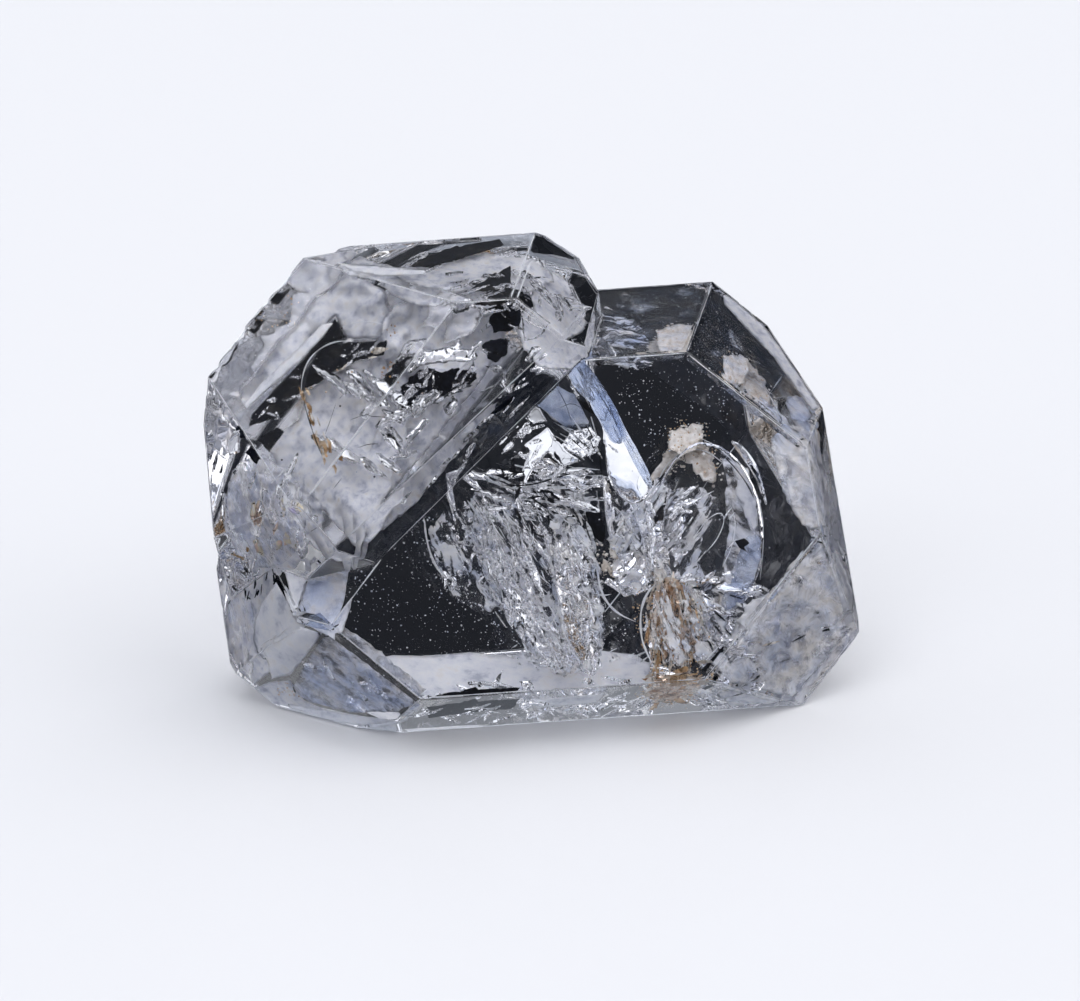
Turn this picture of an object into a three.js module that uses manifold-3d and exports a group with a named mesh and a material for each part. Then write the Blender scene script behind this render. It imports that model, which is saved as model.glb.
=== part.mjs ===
// Herkimer diamond: a doubly terminated quartz specimen in which two crystals
// have grown into one another in near-parallel position.
//
// Millimetres, +Z up. The stone rests on one natural rhombohedral face of the
// large crystal, which is the plane z = 0, and the origin is under the middle
// of its bounding box. +X runs along the long side, -Y is the front.
//
// Every crystal is described the way a mineralogist does it: by the direction
// of its c axis and by a list of faces, each with its azimuth phi around c, its
// polar angle rho from +c, and its distance from the centre of the crystal.

import * as THREE from 'three';
import { ConvexGeometry } from 'three/addons/geometries/ConvexGeometry.js';
import { mergeVertices } from 'three/addons/utils/BufferGeometryUtils.js';
import Module from 'manifold-3d';

// ---------------------------------------------------------------- dimensions

// Overall size of the specimen, for reference: 26.6 x 16.7 x 18.0 mm.
const QUARTZ_COLOUR = 0xe6e6ee;

// Ideal polar angle of the rhombohedral faces r and z of quartz (c/a = 1.100).
const RHO = 51.8;

// Depth of the growth plateau on the prism face of the companion crystal.
const PLATEAU_STEP = 0.15;

// Face tables: [name, phi (degrees), rho (degrees), central distance (mm)].
// m = hexagonal prism, u = rhombohedra at the +c end, d = those at the -c end,
// v = narrow vicinal faces, k = small natural corner truncation.
const MAIN = {
  name: 'main crystal',
  centre: [0.5, -0.3, 7.0],
  euler: [166.85, 50.86, 76.96],
  faces: [
    ['m000', 359.8, 89.9, 4.865],
    ['m060', 60.2, 90.6, 10.431],
    ['m120', 120.0, 90.2, 11.787],
    ['m180', 180.0, 90.6, 5.145],
    ['m240', 240.0, 90.2, 11.246],
    ['m300', 299.5, 90.4, 9.663],
    ['u000', 0.0, 51.6, 9.104],
    ['u060', 59.9, 52.0, 8.193],
    ['u120', 119.8, 52.1, 7.0],
    ['u180', 179.9, RHO, 6.882],
    ['u240', 240.1, 52.2, 10.432],
    ['u300', 300.0, 52.2, 11.329],
    ['d000', 0.6, 127.6, 6.838],
    ['d060', 59.9, 130.3, 11.67],
    ['d120', 120.1, 128.5, 13.126],
    ['d180', 180.0, 128.2, 7.163],
    ['d240', 239.9, 128.4, 9.055],
    ['d300', 300.5, 128.3, 7.723],
    ['v349', 349.0, 48.4, 10.143],
    ['k069', 69.1, 67.1, 9.845],
  ],
};

const COMPANION = {
  name: 'companion crystal',
  centre: [-4.8, -1.0, 11.4],
  euler: [169.4, 48.83, 74.49],
  faces: [
    ['m000', 359.1, 88.9, 4.775],
    ['m063', 63.2, 97.1, 7.663],
    ['m120', 120.0, 90.0, 10.116],
    ['m180', 180.0, 90.0, 3.514],
    ['m240', 242.1, 104.4, 8.911],
    ['m300', 300.6, 90.1, 7.619 - PLATEAU_STEP],
    ['u005', 5.5, 48.3, 4.135],
    ['u060', 60.0, RHO, 6.257],
    ['u120', 120.0, RHO, 7.733],
    ['u180', 180.0, RHO, 6.605],
    ['u240', 240.9, 49.9, 7.882],
    ['u300', 297.4, 52.0, 7.589],
    ['d000', 1.0, 130.9, 5.148],
    ['d060', 58.6, 128.1, 7.422],
    ['d120', 121.3, 131.5, 8.063],
    ['v156', 156.3, 135.9, 6.615],
    ['d180', 182.7, 128.2, 4.872],
    ['v176', 176.2, 126.0, 4.721],
    ['d240', 239.6, 131.0, 7.147],
    ['v237', 237.3, 139.6, 7.144],
    ['d300', 301.9, 128.8, 6.406],
  ],
};

// A low growth plateau on the companion's prism face m300.
const PLATEAU = {
  name: 'plateau on the companion prism face',
  centre: COMPANION.centre,
  euler: COMPANION.euler,
  faces: [
    ['m300', 300.6, 90.1, 7.619],
    ['m000', 359.1, 88.9, 4.76],
    ['d300', 301.9, 128.8, 6.391],
    ['v262', 262.5, 103.2, 7.763],
    ['v274', 273.8, 59.2, 7.892],
    ['v308', 307.6, 48.5, 6.83],
    ['v294', 294.2, 129.6, 6.558],
    ['u005', 5.5, 48.3, 4.105],
    ['root', 120.6, 89.9, -6.719],
  ],
};

// A growth terrace on the companion's top edge.
const TERRACE = {
  name: 'terrace on the companion top edge',
  centre: COMPANION.centre,
  euler: COMPANION.euler,
  faces: [
    ['d240', 239.6, 131.0, 7.159],
    ['d300', 301.9, 128.8, 6.394],
    ['v172', 171.5, 165.2, 6.667],
    ['v273', 273.2, 64.9, 5.256],
    ['root', 59.6, 49.0, -6.347],
    ['d180', 182.7, 128.2, 4.842],
    ['v186', 185.5, 81.3, 4.46],
  ],
};

// ------------------------------------------------------------------ geometry

/** Unit normal of a crystal face, in the crystal's own axes (z = c axis). */
function faceNormal(phi, rho) {
  const p = THREE.MathUtils.degToRad(phi);
  const r = THREE.MathUtils.degToRad(rho);
  return new THREE.Vector3(Math.sin(r) * Math.cos(p), Math.sin(r) * Math.sin(p), Math.cos(r));
}

/** The face planes of a crystal in the part frame, as {n, d} with n.x <= d inside. */
function facePlanes({ centre, euler, faces }) {
  const [ex, ey, ez] = euler.map(THREE.MathUtils.degToRad);
  const turn = new THREE.Quaternion().setFromEuler(new THREE.Euler(ex, ey, ez, 'XYZ'));
  const c = new THREE.Vector3(...centre);
  return faces.map(([name, phi, rho, distance]) => {
    const n = faceNormal(phi, rho).applyQuaternion(turn).normalize();
    return { name, n, d: n.dot(c) + distance };
  });
}

/** Corners of the convex solid bounded by the planes: every meeting point of
 *  three planes that lies behind all the others. */
function corners(planes) {
  const found = [];
  const cross = new THREE.Vector3();
  for (let i = 0; i < planes.length; i++) {
    for (let j = i + 1; j < planes.length; j++) {
      for (let k = j + 1; k < planes.length; k++) {
        const [a, b, c] = [planes[i], planes[j], planes[k]];
        const bc = new THREE.Vector3().crossVectors(b.n, c.n);
        const det = a.n.dot(bc);
        if (Math.abs(det) < 1e-7) continue;
        const p = bc.multiplyScalar(a.d)
          .addScaledVector(cross.crossVectors(c.n, a.n), b.d)
          .addScaledVector(cross.crossVectors(a.n, b.n), c.d)
          .divideScalar(det);
        if (planes.some(({ n, d }) => n.dot(p) > d + 1e-6)) continue;
        if (found.some((q) => q.distanceTo(p) < 1e-4)) continue;
        found.push(p);
      }
    }
  }
  return found;
}

/** One crystal as a closed convex mesh. */
function crystalGeometry(crystal, planes = facePlanes(crystal)) {
  const geometry = new ConvexGeometry(corners(planes));
  geometry.deleteAttribute('normal');
  geometry.deleteAttribute('uv');
  return mergeVertices(geometry, 1e-4);
}

// The face u120 of the main crystal is the one it lies on: exactly z = 0.
const mainPlanes = facePlanes(MAIN);
const rest = mainPlanes.find(({ name }) => name === 'u120');
rest.n.set(0, 0, -1);
rest.d = 0;

// ------------------------------------------------- joining the intergrowth

const wasm = await Module();
wasm.setup();

function toManifold(geometry) {
  return new wasm.Manifold(new wasm.Mesh({
    numProp: 3,
    vertProperties: new Float32Array(geometry.attributes.position.array),
    triVerts: new Uint32Array(geometry.index.array),
  }));
}

function fromManifold(solid) {
  const { vertProperties, triVerts, numProp } = solid.getMesh();
  const positions = new Float32Array((vertProperties.length / numProp) * 3);
  for (let i = 0; i < positions.length / 3; i++) {
    positions[3 * i] = vertProperties[numProp * i];
    positions[3 * i + 1] = vertProperties[numProp * i + 1];
    positions[3 * i + 2] = vertProperties[numProp * i + 2];
  }
  const geometry = new THREE.BufferGeometry();
  geometry.setAttribute('position', new THREE.BufferAttribute(positions, 3));
  geometry.setIndex(new THREE.BufferAttribute(new Uint32Array(triVerts), 1));
  geometry.computeVertexNormals();
  return geometry;
}

let stone = toManifold(crystalGeometry(MAIN, mainPlanes));
for (const crystal of [COMPANION, PLATEAU, TERRACE]) {
  stone = stone.add(toManifold(crystalGeometry(crystal)));
}

// ---------------------------------------------------------------- the object

const quartz = new THREE.Mesh(
  fromManifold(stone),
  new THREE.MeshStandardMaterial({
    name: 'quartz',
    color: QUARTZ_COLOUR,
    roughness: 0.05,
    metalness: 0,
    transparent: true,
    opacity: 0.35,
    flatShading: true,
  }),
);
quartz.name = 'herkimer_quartz';

const specimen = new THREE.Group();
specimen.name = 'herkimer_diamond';
specimen.add(quartz);

export default specimen;
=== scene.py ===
import math

import bmesh
import bpy
import numpy as np
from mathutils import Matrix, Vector
from mathutils.bvhtree import BVHTree
from mathutils.geometry import delaunay_2d_cdt


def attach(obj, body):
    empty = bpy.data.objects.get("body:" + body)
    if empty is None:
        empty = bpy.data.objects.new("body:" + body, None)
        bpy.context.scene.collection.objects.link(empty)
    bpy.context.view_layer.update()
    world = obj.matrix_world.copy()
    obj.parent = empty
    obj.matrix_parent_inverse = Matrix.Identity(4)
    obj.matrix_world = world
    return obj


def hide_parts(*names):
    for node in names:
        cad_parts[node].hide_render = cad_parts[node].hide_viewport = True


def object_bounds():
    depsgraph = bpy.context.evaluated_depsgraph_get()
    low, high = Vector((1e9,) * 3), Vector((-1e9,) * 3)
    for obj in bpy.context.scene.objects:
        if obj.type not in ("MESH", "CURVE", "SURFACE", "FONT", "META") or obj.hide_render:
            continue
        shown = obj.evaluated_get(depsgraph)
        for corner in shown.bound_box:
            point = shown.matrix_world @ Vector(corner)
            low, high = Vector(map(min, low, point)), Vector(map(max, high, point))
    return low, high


# Looks of the herkimer diamond. Lengths below are millimetres unless a name
# says px; meshes are written in metres at the end. (u, v) are pixels of the
# 1080 x 1001 frame, and a depth is measured along the refracted ray.

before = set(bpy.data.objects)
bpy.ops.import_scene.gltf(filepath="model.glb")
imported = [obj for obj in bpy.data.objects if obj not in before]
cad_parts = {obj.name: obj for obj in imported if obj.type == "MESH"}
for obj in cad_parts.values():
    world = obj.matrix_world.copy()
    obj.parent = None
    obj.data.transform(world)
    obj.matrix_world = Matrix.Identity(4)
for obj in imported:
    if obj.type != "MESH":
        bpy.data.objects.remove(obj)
cad_lo, cad_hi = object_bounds()
NODE = "herkimer_quartz"
scene = bpy.context.scene

# ------------------------------------------------------------------- camera
CAM = np.array([0.2645, -260.7071, 122.7125])
AIM = np.array([0.2645, -4.5539, 9.6394])
IOR = 1.544
ELEV = math.radians(23.818)
MM_PX = 0.04
# image axes: right, into the picture, up
RIGHT = np.array([1.0, 0.0, 0.0])
INTO = np.array([0.0, math.cos(ELEV), -math.sin(ELEV)])
UP = np.array([0.0, math.sin(ELEV), math.cos(ELEV)])

cam_data = bpy.data.cameras.new("camera")
cam = bpy.data.objects.new("camera", cam_data)
scene.collection.objects.link(cam)
scene.camera = cam
cam_data.sensor_fit = "HORIZONTAL"
cam_data.sensor_width = 36.0
cam_data.lens = 233.333
cam_data.clip_start, cam_data.clip_end = 0.01, 10.0
cam.location = Vector(CAM / 1000)
cam.rotation_euler = Vector((AIM - CAM) / 1000).to_track_quat("-Z", "Y").to_euler()


def pixel_rays(u, v):
    """Unit view directions through pixels."""
    u, v = np.atleast_1d(np.asarray(u, float)), np.atleast_1d(np.asarray(v, float))
    d = (
        np.outer((u - 540) * MM_PX, RIGHT)
        + 280.0 * INTO[None]
        + np.outer((500.5 - v) * MM_PX, UP)
    )
    return d / np.linalg.norm(d, axis=1, keepdims=True)


def project(p):
    q = np.atleast_2d(p) - CAM
    z = q @ INTO
    return 540 + 280 / MM_PX * (q @ RIGHT) / z, 500.5 - 280 / MM_PX * (q @ UP) / z


# -------------------------------------------------------------------- noise
def _hash(ix, iy, iz, seed):
    m = np.uint64(0xFFFFFFFF)
    h = (
        ix.astype(np.uint64) * np.uint64(374761393)
        + iy.astype(np.uint64) * np.uint64(668265263)
        + iz.astype(np.uint64) * np.uint64(2246822519)
        + np.uint64(seed) * np.uint64(3266489917)
    ) & m
    h = ((h ^ (h >> np.uint64(13))) * np.uint64(1274126177)) & m
    h = ((h ^ (h >> np.uint64(16))) * np.uint64(2654435761)) & m
    h = h ^ (h >> np.uint64(15))
    return (h & np.uint64(0xFFFFFF)).astype(float) / 0xFFFFFF * 2 - 1


def vnoise(p, seed=0):
    """Smooth value noise, -1 to 1, at points p (n, 3)."""
    p = np.asarray(p, float) + 1000.0
    i = np.floor(p).astype(np.int64)
    f = p - i
    f = f * f * f * (f * (f * 6 - 15) + 10)
    out = np.zeros(len(p))
    for dx in (0, 1):
        for dy in (0, 1):
            for dz in (0, 1):
                w = (
                    (f[:, 0] if dx else 1 - f[:, 0])
                    * (f[:, 1] if dy else 1 - f[:, 1])
                    * (f[:, 2] if dz else 1 - f[:, 2])
                )
                out += w * _hash(i[:, 0] + dx, i[:, 1] + dy, i[:, 2] + dz, seed)
    return out


def fbm(p, seed=0, octaves=3, gain=0.5):
    p = np.asarray(p, float)
    out, a = np.zeros(len(p)), 1.0
    for k in range(octaves):
        out += a * vnoise(p * (2.03**k), seed + 17 * k)
        a *= gain
    return out


def noise1(x, seed=0, octaves=2):
    x = np.atleast_1d(np.asarray(x, float))
    return fbm(np.c_[x, np.zeros_like(x) + 3.1, np.zeros_like(x) + 7.7], seed, octaves)


def smooth(x, a, b):
    t = np.clip((x - a) / (b - a), 0, 1)
    return t * t * (3 - 2 * t)


# ------------------------------------------------------------ the CAD facets
src = bmesh.new()
src.from_mesh(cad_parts[NODE].data)
for v in src.verts:
    v.co *= 1000
bmesh.ops.remove_doubles(src, verts=src.verts, dist=0.002)
bmesh.ops.triangulate(src, faces=src.faces)
src.normal_update()
TREE = BVHTree.FromBMesh(src)
bmesh.ops.dissolve_limit(
    src,
    angle_limit=math.radians(0.25),
    use_dissolve_boundaries=False,
    verts=src.verts,
    edges=src.edges,
)
src.normal_update()
src.verts.ensure_lookup_table()
src.faces.ensure_lookup_table()
src.verts.index_update()
FACETS = []
for f in src.faces:
    FACETS.append(
        {
            "n": np.array(f.normal),
            "loop": [v.index for v in f.verts],
            "area": f.calc_area(),
        }
    )
CORNER = np.array([v.co[:] for v in src.verts])
for f in FACETS:
    f["d"] = float(np.mean(CORNER[f["loop"]] @ f["n"]))


def plane_at(u, v):
    """(normal, offset) of the facet seen at a pixel."""
    loc, n, _, _ = TREE.ray_cast(Vector(CAM), Vector(pixel_rays(u, v)[0]))
    n, loc = np.array(n), np.array(loc)
    best = max(FACETS, key=lambda f: (f["n"] @ n) - abs(f["d"] - f["n"] @ loc) * 0.5)
    return best["n"], best["d"]


def inside(plane, u, v, depth):
    """Points that show at pixels (u, v) through the facet, at a depth behind it."""
    n, off = plane
    d = pixel_rays(u, v)
    t = (off - CAM @ n) / (d @ n)
    p = CAM + d * t[:, None]
    c = -(d @ n)
    k = 1 - (1 - c * c) / IOR**2
    r = d / IOR + (c / IOR - np.sqrt(k))[:, None] * n
    return p + r * np.broadcast_to(np.asarray(depth, float), t.shape)[:, None]


def keep_in(p, margin=0.1):
    """Moves points that are outside the stone, or just under its skin, inside."""
    p = np.array(p, float)
    for i, q in enumerate(p):
        loc, n, _, dist = TREE.find_nearest(Vector(q))
        s = (Vector(q) - loc).dot(n)
        if s > -margin:
            if dist < margin * 3 or s > 0:
                p[i] = np.array(loc) - np.array(n) * margin
    return p


# -------------------------------------------------------------- mesh pieces
class Builder:
    """Collects closed shapes that become one mesh."""

    def __init__(self):
        self.v, self.f, self.n = [], [], 0

    def add(self, verts, faces, void=None):
        """void True: a hollow, its normals point into it. False: a solid."""
        verts = np.asarray(verts, float)
        faces = np.asarray(faces, np.int64)
        if void is not None:
            q = verts - verts.mean(0)
            a, b, c = (q[faces[:, k]] for k in range(3))
            volume = (a * np.cross(b, c)).sum()
            if (volume > 0) == void:
                faces = faces[:, ::-1]
        self.v.append(verts)
        self.f.append(faces + self.n)
        self.n += len(verts)

    def count(self):
        return sum(len(f) for f in self.f)

    def object(self, name, material, smooth_shade=True):
        v = np.concatenate(self.v) / 1000
        f = np.concatenate(self.f)
        me = bpy.data.meshes.new(name)
        me.vertices.add(len(v))
        me.vertices.foreach_set("co", v.ravel().astype(np.float32))
        me.loops.add(len(f) * 3)
        me.loops.foreach_set("vertex_index", f.ravel().astype(np.int32))
        me.polygons.add(len(f))
        me.polygons.foreach_set("loop_start", np.arange(0, len(f) * 3, 3, dtype=np.int32))
        me.polygons.foreach_set("use_smooth", np.full(len(f), smooth_shade))
        me.update(calc_edges=True)
        me.validate()
        me.materials.append(material)
        ob = bpy.data.objects.new(name, me)
        scene.collection.objects.link(ob)
        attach(ob, "root")
        return ob


def triangulate(poly, inner):
    """Triangles of a polygon with inner points, all 2D. Returns triangles as
    indices into poly + inner."""
    pts = np.concatenate([poly, inner]) if len(inner) else poly
    n = len(poly)
    scale = max(np.ptp(poly[:, 0]), np.ptp(poly[:, 1]))
    out = delaunay_2d_cdt(
        [Vector((float(a), float(b))) for a, b in pts / scale],
        [(i, (i + 1) % n) for i in range(n)],
        [list(range(n))],
        1,
        1e-7,
    )
    _, _, tri, origin = out[:4]
    first = [o[0] if o else -1 for o in origin]
    t = np.array([[first[i] for i in f] for f in tri if len(f) == 3], np.int64)
    t = t[(t >= 0).all(1)]
    a, b, c = pts[t[:, 0]], pts[t[:, 1]], pts[t[:, 2]]
    area = (b[:, 0] - a[:, 0]) * (c[:, 1] - a[:, 1]) - (b[:, 1] - a[:, 1]) * (
        c[:, 0] - a[:, 0]
    )
    t = t[np.abs(area) > 1e-12]
    area = area[np.abs(area) > 1e-12]
    t[area < 0] = t[area < 0][:, ::-1]
    return t


def edge_distance(p, poly):
    """Distance of points p from the outline of a polygon, and whether inside."""
    a, b = poly, np.roll(poly, -1, axis=0)
    ab = b - a
    best = np.full(len(p), 1e9)
    inside_flag = np.zeros(len(p), bool)
    for i in range(len(a)):
        ap = p - a[i]
        t = np.clip((ap @ ab[i]) / max(ab[i] @ ab[i], 1e-12), 0, 1)
        best = np.minimum(best, np.linalg.norm(ap - t[:, None] * ab[i], axis=1))
        cond = (a[i, 1] > p[:, 1]) != (b[i, 1] > p[:, 1])
        with np.errstate(divide="ignore", invalid="ignore"):
            x = a[i, 0] + (p[:, 1] - a[i, 1]) * ab[i, 0] / ab[i, 1]
        inside_flag ^= cond & (p[:, 0] < x)
    return best, inside_flag


# ---------------------------------------------------------- the outer surface
def label(n, ref, tol=6.0):
    return float(n @ ref) > math.cos(math.radians(tol))


FRONT = plane_at(560, 600)  # big prism face
LR = plane_at(300, 420)  # upper left face of the companion
LM = plane_at(430, 420)  # prism face of the companion
LB = plane_at(410, 500)  # dark band below it
TOP = plane_at(640, 310)  # top right face
BRIGHT_R = plane_at(740, 340)  # bevel right of it
RIGHT_LOW = plane_at(800, 640)
LEFT_LOW = plane_at(320, 680)
F3 = plane_at(255, 615)
LL = plane_at(230, 470)
LT = plane_at(450, 270)
BASE = (np.array([0.0, 0.0, -1.0]), 0.0)
LO_FRONT = plane_at(560, 705)
F1 = plane_at(323, 593)
F4 = plane_at(265, 612)
LL_FOOT = plane_at(250, 588)
RF1 = plane_at(800, 460)
WIN_R = plane_at(785, 540)
LE = plane_at(560, 290)


def same(a, b, tol=1.5, dist=0.4):
    return float(a["n"] @ b[0]) > math.cos(math.radians(tol)) and abs(a["d"] - b[1]) < dist


HILLOCKS = {}  # facet key -> list of (pixel u, v, radius, height)
HILLOCKS["lr"] = [
    (282, 460, 0.80, 0.030),
    (385, 460, 1.00, 0.030),
    (262, 505, 0.55, 0.018),
    (352, 452, 0.45, 0.014),
    (330, 492, 0.50, 0.014),
    (232, 372, 0.42, 0.026),
    (247, 392, 0.36, 0.018),
    (252, 352, 0.50, 0.022),
    (268, 330, 0.40, 0.020),
    (290, 300, 0.60, 0.022),
    (318, 285, 0.50, 0.016),
    (345, 300, 0.45, 0.012),
]

rng = np.random.default_rng(20)


def facet_height(f, p3):
    """Growth relief of a facet at points of its plane, in mm."""
    n = f["n"]
    seed = int(abs(n[0] * 91 + n[1] * 57 + n[2] * 33) * 10) % 1000
    h = 0.0035 * fbm(p3 / 2.6, seed, 2) + 0.0008 * fbm(p3 / 0.55, seed + 5, 2)
    kind = f["kind"]
    if kind == "base":
        return -np.abs(h)
    if kind in ("lr", "lm"):
        h = h + 0.003 * fbm(p3 / 1.3, seed + 3, 2)
    if kind == "band":
        # striations run along the band
        axis = f["axis"]
        side = np.cross(n, axis)
        a, s = p3 @ axis, p3 @ side
        q = np.c_[a * 0.30, s * 3.4, np.zeros(len(p3))]
        patch = 0.35 + 0.65 * smooth(fbm(np.c_[a * 0.45, s * 1.2, np.zeros(len(p3))], seed + 11, 2), -0.3, 0.5)
        h = h + 0.016 * patch * fbm(q, seed + 9, 3)
    if kind == "bumpy":
        h = h + 0.0065 * fbm(p3 / 1.05, seed + 21, 2) + 0.0012 * fbm(p3 / 0.42, seed + 22, 1)
    if kind == "soft":
        h = h + 0.005 * fbm(p3 / 1.3, seed + 31, 2) + 0.0008 * fbm(p3 / 0.4, seed + 32, 1)
    if kind == "plain":
        pass
    for c, r, a in f.get("hills", []):
        d = np.linalg.norm(p3 - c, axis=1) / r
        dome = a * np.exp(-((d / 0.75) ** 3)) + a * 0.16 * np.exp(-(((d - 0.98) / 0.17) ** 2))
        dome += a * 0.3 * np.exp(-((d / 0.22) ** 2))
        h = h + dome
    return h


def kind_of(f):
    for key, pl, name in (
        ("front", FRONT, "plain"),
        ("base", BASE, "base"),
        ("lr", LR, "lr"),
        ("lm", LM, "lm"),
        ("lb", LB, "band"),
        ("top", TOP, "plain"),
        ("b", BRIGHT_R, "plain"),
        ("f2", RIGHT_LOW, "soft"),
        ("f4", LEFT_LOW, "soft"),
        ("f3", F3, "soft"),
        ("ll", LL, "soft"),
        ("lt", LT, "soft"),
        ("low", LO_FRONT, "soft"),
    ):
        if same(f, pl):
            return key, name
    # faces that look away from the front
    if f["n"] @ INTO > 0.05:
        c = CORNER[f["loop"]].mean(0)
        m180 = f["n"] @ np.array([-0.15, 0.91, -0.39]) > 0.99
        if m180:
            return "back", "plain"
        if c[0] < -3:
            return "backL", "bumpy"
        return "backR", "soft"
    return "other", "soft"


for f in FACETS:
    f["key"], f["kind"] = kind_of(f)
    p = CORNER[f["loop"]]
    e = np.roll(p, -1, axis=0) - p
    f["axis"] = e[np.argmax(np.linalg.norm(e, axis=1))]
    f["axis"] = f["axis"] / np.linalg.norm(f["axis"])
for f in FACETS:
    if f["key"] == "lr":
        f["hills"] = [
            (inside(LR, u, v, 0.0)[0], r, a) for u, v, r, a in HILLOCKS["lr"]
        ]

STEP = {
    "front": 0.34,
    "base": 0.45,
    "lr": 0.13,
    "lm": 0.15,
    "lb": 0.12,
    "top": 0.34,
    "b": 0.34,
    "f2": 0.24,
    "f4": 0.24,
    "f3": 0.24,
    "ll": 0.22,
    "lt": 0.24,
    "low": 0.24,
    "back": 0.34,
    "backL": 0.2,
    "backR": 0.26,
    "other": 0.26,
}
EDGE_STEP = 0.13
ROW = (0.035, 0.09)

edge_faces = {}
for k, f in enumerate(FACETS):
    L = f["loop"]
    for a, b in zip(L, L[1:] + L[:1]):
        edge_faces.setdefault((min(a, b), max(a, b)), []).append(k)

skin_v = [c for c in CORNER]
skin_n = [[] for _ in CORNER]
edge_points = {}
for (a, b), fs in edge_faces.items():
    pa, pb = CORNER[a], CORNER[b]
    count = max(1, int(round(np.linalg.norm(pb - pa) / EDGE_STEP)))
    ids = [a]
    for i in range(1, count):
        skin_v.append(pa + (pb - pa) * i / count)
        skin_n.append([])
        ids.append(len(skin_v) - 1)
    ids.append(b)
    edge_points[(a, b)] = ids
    for i in ids:
        skin_n[i].extend(FACETS[k]["n"] for k in fs)
n_edge_pts = len(skin_v)

skin_faces = []
for f in FACETS:
    L = f["loop"]
    ring = []
    for a, b in zip(L, L[1:] + L[:1]):
        ids = edge_points[(min(a, b), max(a, b))]
        ids = ids if ids[0] == a else ids[::-1]
        ring.extend(ids[:-1])
    n = f["n"]
    t1 = f["axis"]
    t2 = np.cross(n, t1)
    c0 = CORNER[L[0]]
    P = np.array([skin_v[i] for i in ring])
    poly = np.c_[(P - c0) @ t1, (P - c0) @ t2]
    corner2 = np.c_[(CORNER[L] - c0) @ t1, (CORNER[L] - c0) @ t2]
    inner = []
    step = STEP[f["key"]]
    # rows of points beside each edge
    m = len(poly)
    a2, b2 = poly, np.roll(poly, -1, axis=0)
    mid = (a2 + b2) / 2
    tan = b2 - a2
    ln = np.linalg.norm(tan, axis=1, keepdims=True)
    nin = np.c_[-tan[:, 1], tan[:, 0]] / np.maximum(ln, 1e-9)
    rows = []
    for off in ROW:
        q = mid + nin * off
        dist, ins = edge_distance(q, corner2)
        q = q[ins & (dist > off * 0.97)]
        rows.append(q)
    lo, hi = poly.min(0), poly.max(0)
    gx = np.arange(lo[0], hi[0] + step, step)
    gy = np.arange(lo[1], hi[1] + step, step * 0.866)
    if f["kind"] == "band":
        gx, gy = np.arange(lo[0], hi[0] + 0.3, 0.3), np.arange(lo[1], hi[1] + 0.04, 0.04)
    if len(gx) * len(gy):
        X, Y = np.meshgrid(gx, gy)
        sx, sy = (0.3, 0.04) if f["kind"] == "band" else (step, step)
        X = X + (np.arange(len(gy)) % 2)[:, None] * sx / 2
        g = np.c_[X.ravel(), Y.ravel()]
        g = g + rng.uniform(-0.14, 0.14, g.shape) * np.array([sx, sy])
        dist, ins = edge_distance(g, corner2)
        g = g[ins & (dist > ROW[1] + min(0.6 * step, 0.12))]
        # graded ring between the rows and the coarse grid
        if step > 0.2:
            q = mid[::2] + nin[::2] * 0.21
            d3, i3 = edge_distance(q, corner2)
            rows.append(q[i3 & (d3 > 0.2)])
            g = g[edge_distance(g, corner2)[0] > 0.21 + 0.5 * step] if len(g) else g
        rows.append(g)
    inner = np.concatenate([r for r in rows if len(r)]) if any(len(r) for r in rows) else np.zeros((0, 2))
    # drop inner points that nearly coincide
    if len(inner):
        key = np.round(inner / 0.02).astype(int)
        _, keep = np.unique(key, axis=0, return_index=True)
        inner = inner[np.sort(keep)]
    tri = triangulate(poly, inner)
    P3 = c0 + inner[:, :1] * t1 + inner[:, 1:] * t2 if len(inner) else np.zeros((0, 3))
    if len(P3):
        dist, _ = edge_distance(inner, corner2)
        h = facet_height(f, P3) * smooth(dist, 0.03, 0.45)
        P3 = P3 + n * h[:, None]
    base_index = len(skin_v)
    skin_v.extend(P3)
    ids = np.array(ring + list(range(base_index, base_index + len(P3))))
    skin_faces.append(ids[tri])

skin_v = np.array(skin_v)
skin_faces = np.concatenate(skin_faces)

# worn edges: each edge point goes in a little, with small chips
move = np.zeros((n_edge_pts, 3))
E = skin_v[:n_edge_pts]
wear = 0.007 + 0.010 * np.abs(fbm(E / 0.8, 71, 2))
chip = smooth(fbm(E / 0.45, 72, 2), 0.45, 1.0) * 0.055
wear = wear + chip
for i in range(n_edge_pts):
    ns = np.unique(np.round(np.array(skin_n[i]), 4), axis=0)
    if len(ns) < 2:
        continue
    g = ns @ ns.T
    spread = math.degrees(math.acos(max(-1, min(1, g.min()))))
    w = wear[i] * min(1.0, spread / 30.0)
    # least squares move that sinks the point by w under each of its facets
    A = ns
    sol = np.linalg.lstsq(A.T @ A + 0.02 * np.eye(3), A.T @ (-w * np.ones(len(ns))), rcond=None)[0]
    s = np.linalg.norm(sol)
    if s > 0.09:
        sol *= 0.09 / s
    move[i] = sol
skin_v[:n_edge_pts] += move

# the scalloped ridge on the upper left outline of the companion
RIDGE_PX = np.array([(203, 397), (208, 377), (231, 347), (256, 310), (278, 283), (303, 257)], float)


def along_polyline(p, line):
    best = np.full(len(p), 1e9)
    s_at = np.zeros(len(p))
    s0 = 0.0
    for a, b in zip(line[:-1], line[1:]):
        ab = b - a
        L = np.linalg.norm(ab)
        t = np.clip(((p - a) @ ab) / (L * L), 0, 1)
        d = np.linalg.norm(p - a - t[:, None] * ab, axis=1)
        m = d < best
        best[m] = d[m]
        s_at[m] = (s0 + t * L)[m]
        s0 += L
    return best, s_at, s0


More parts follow.
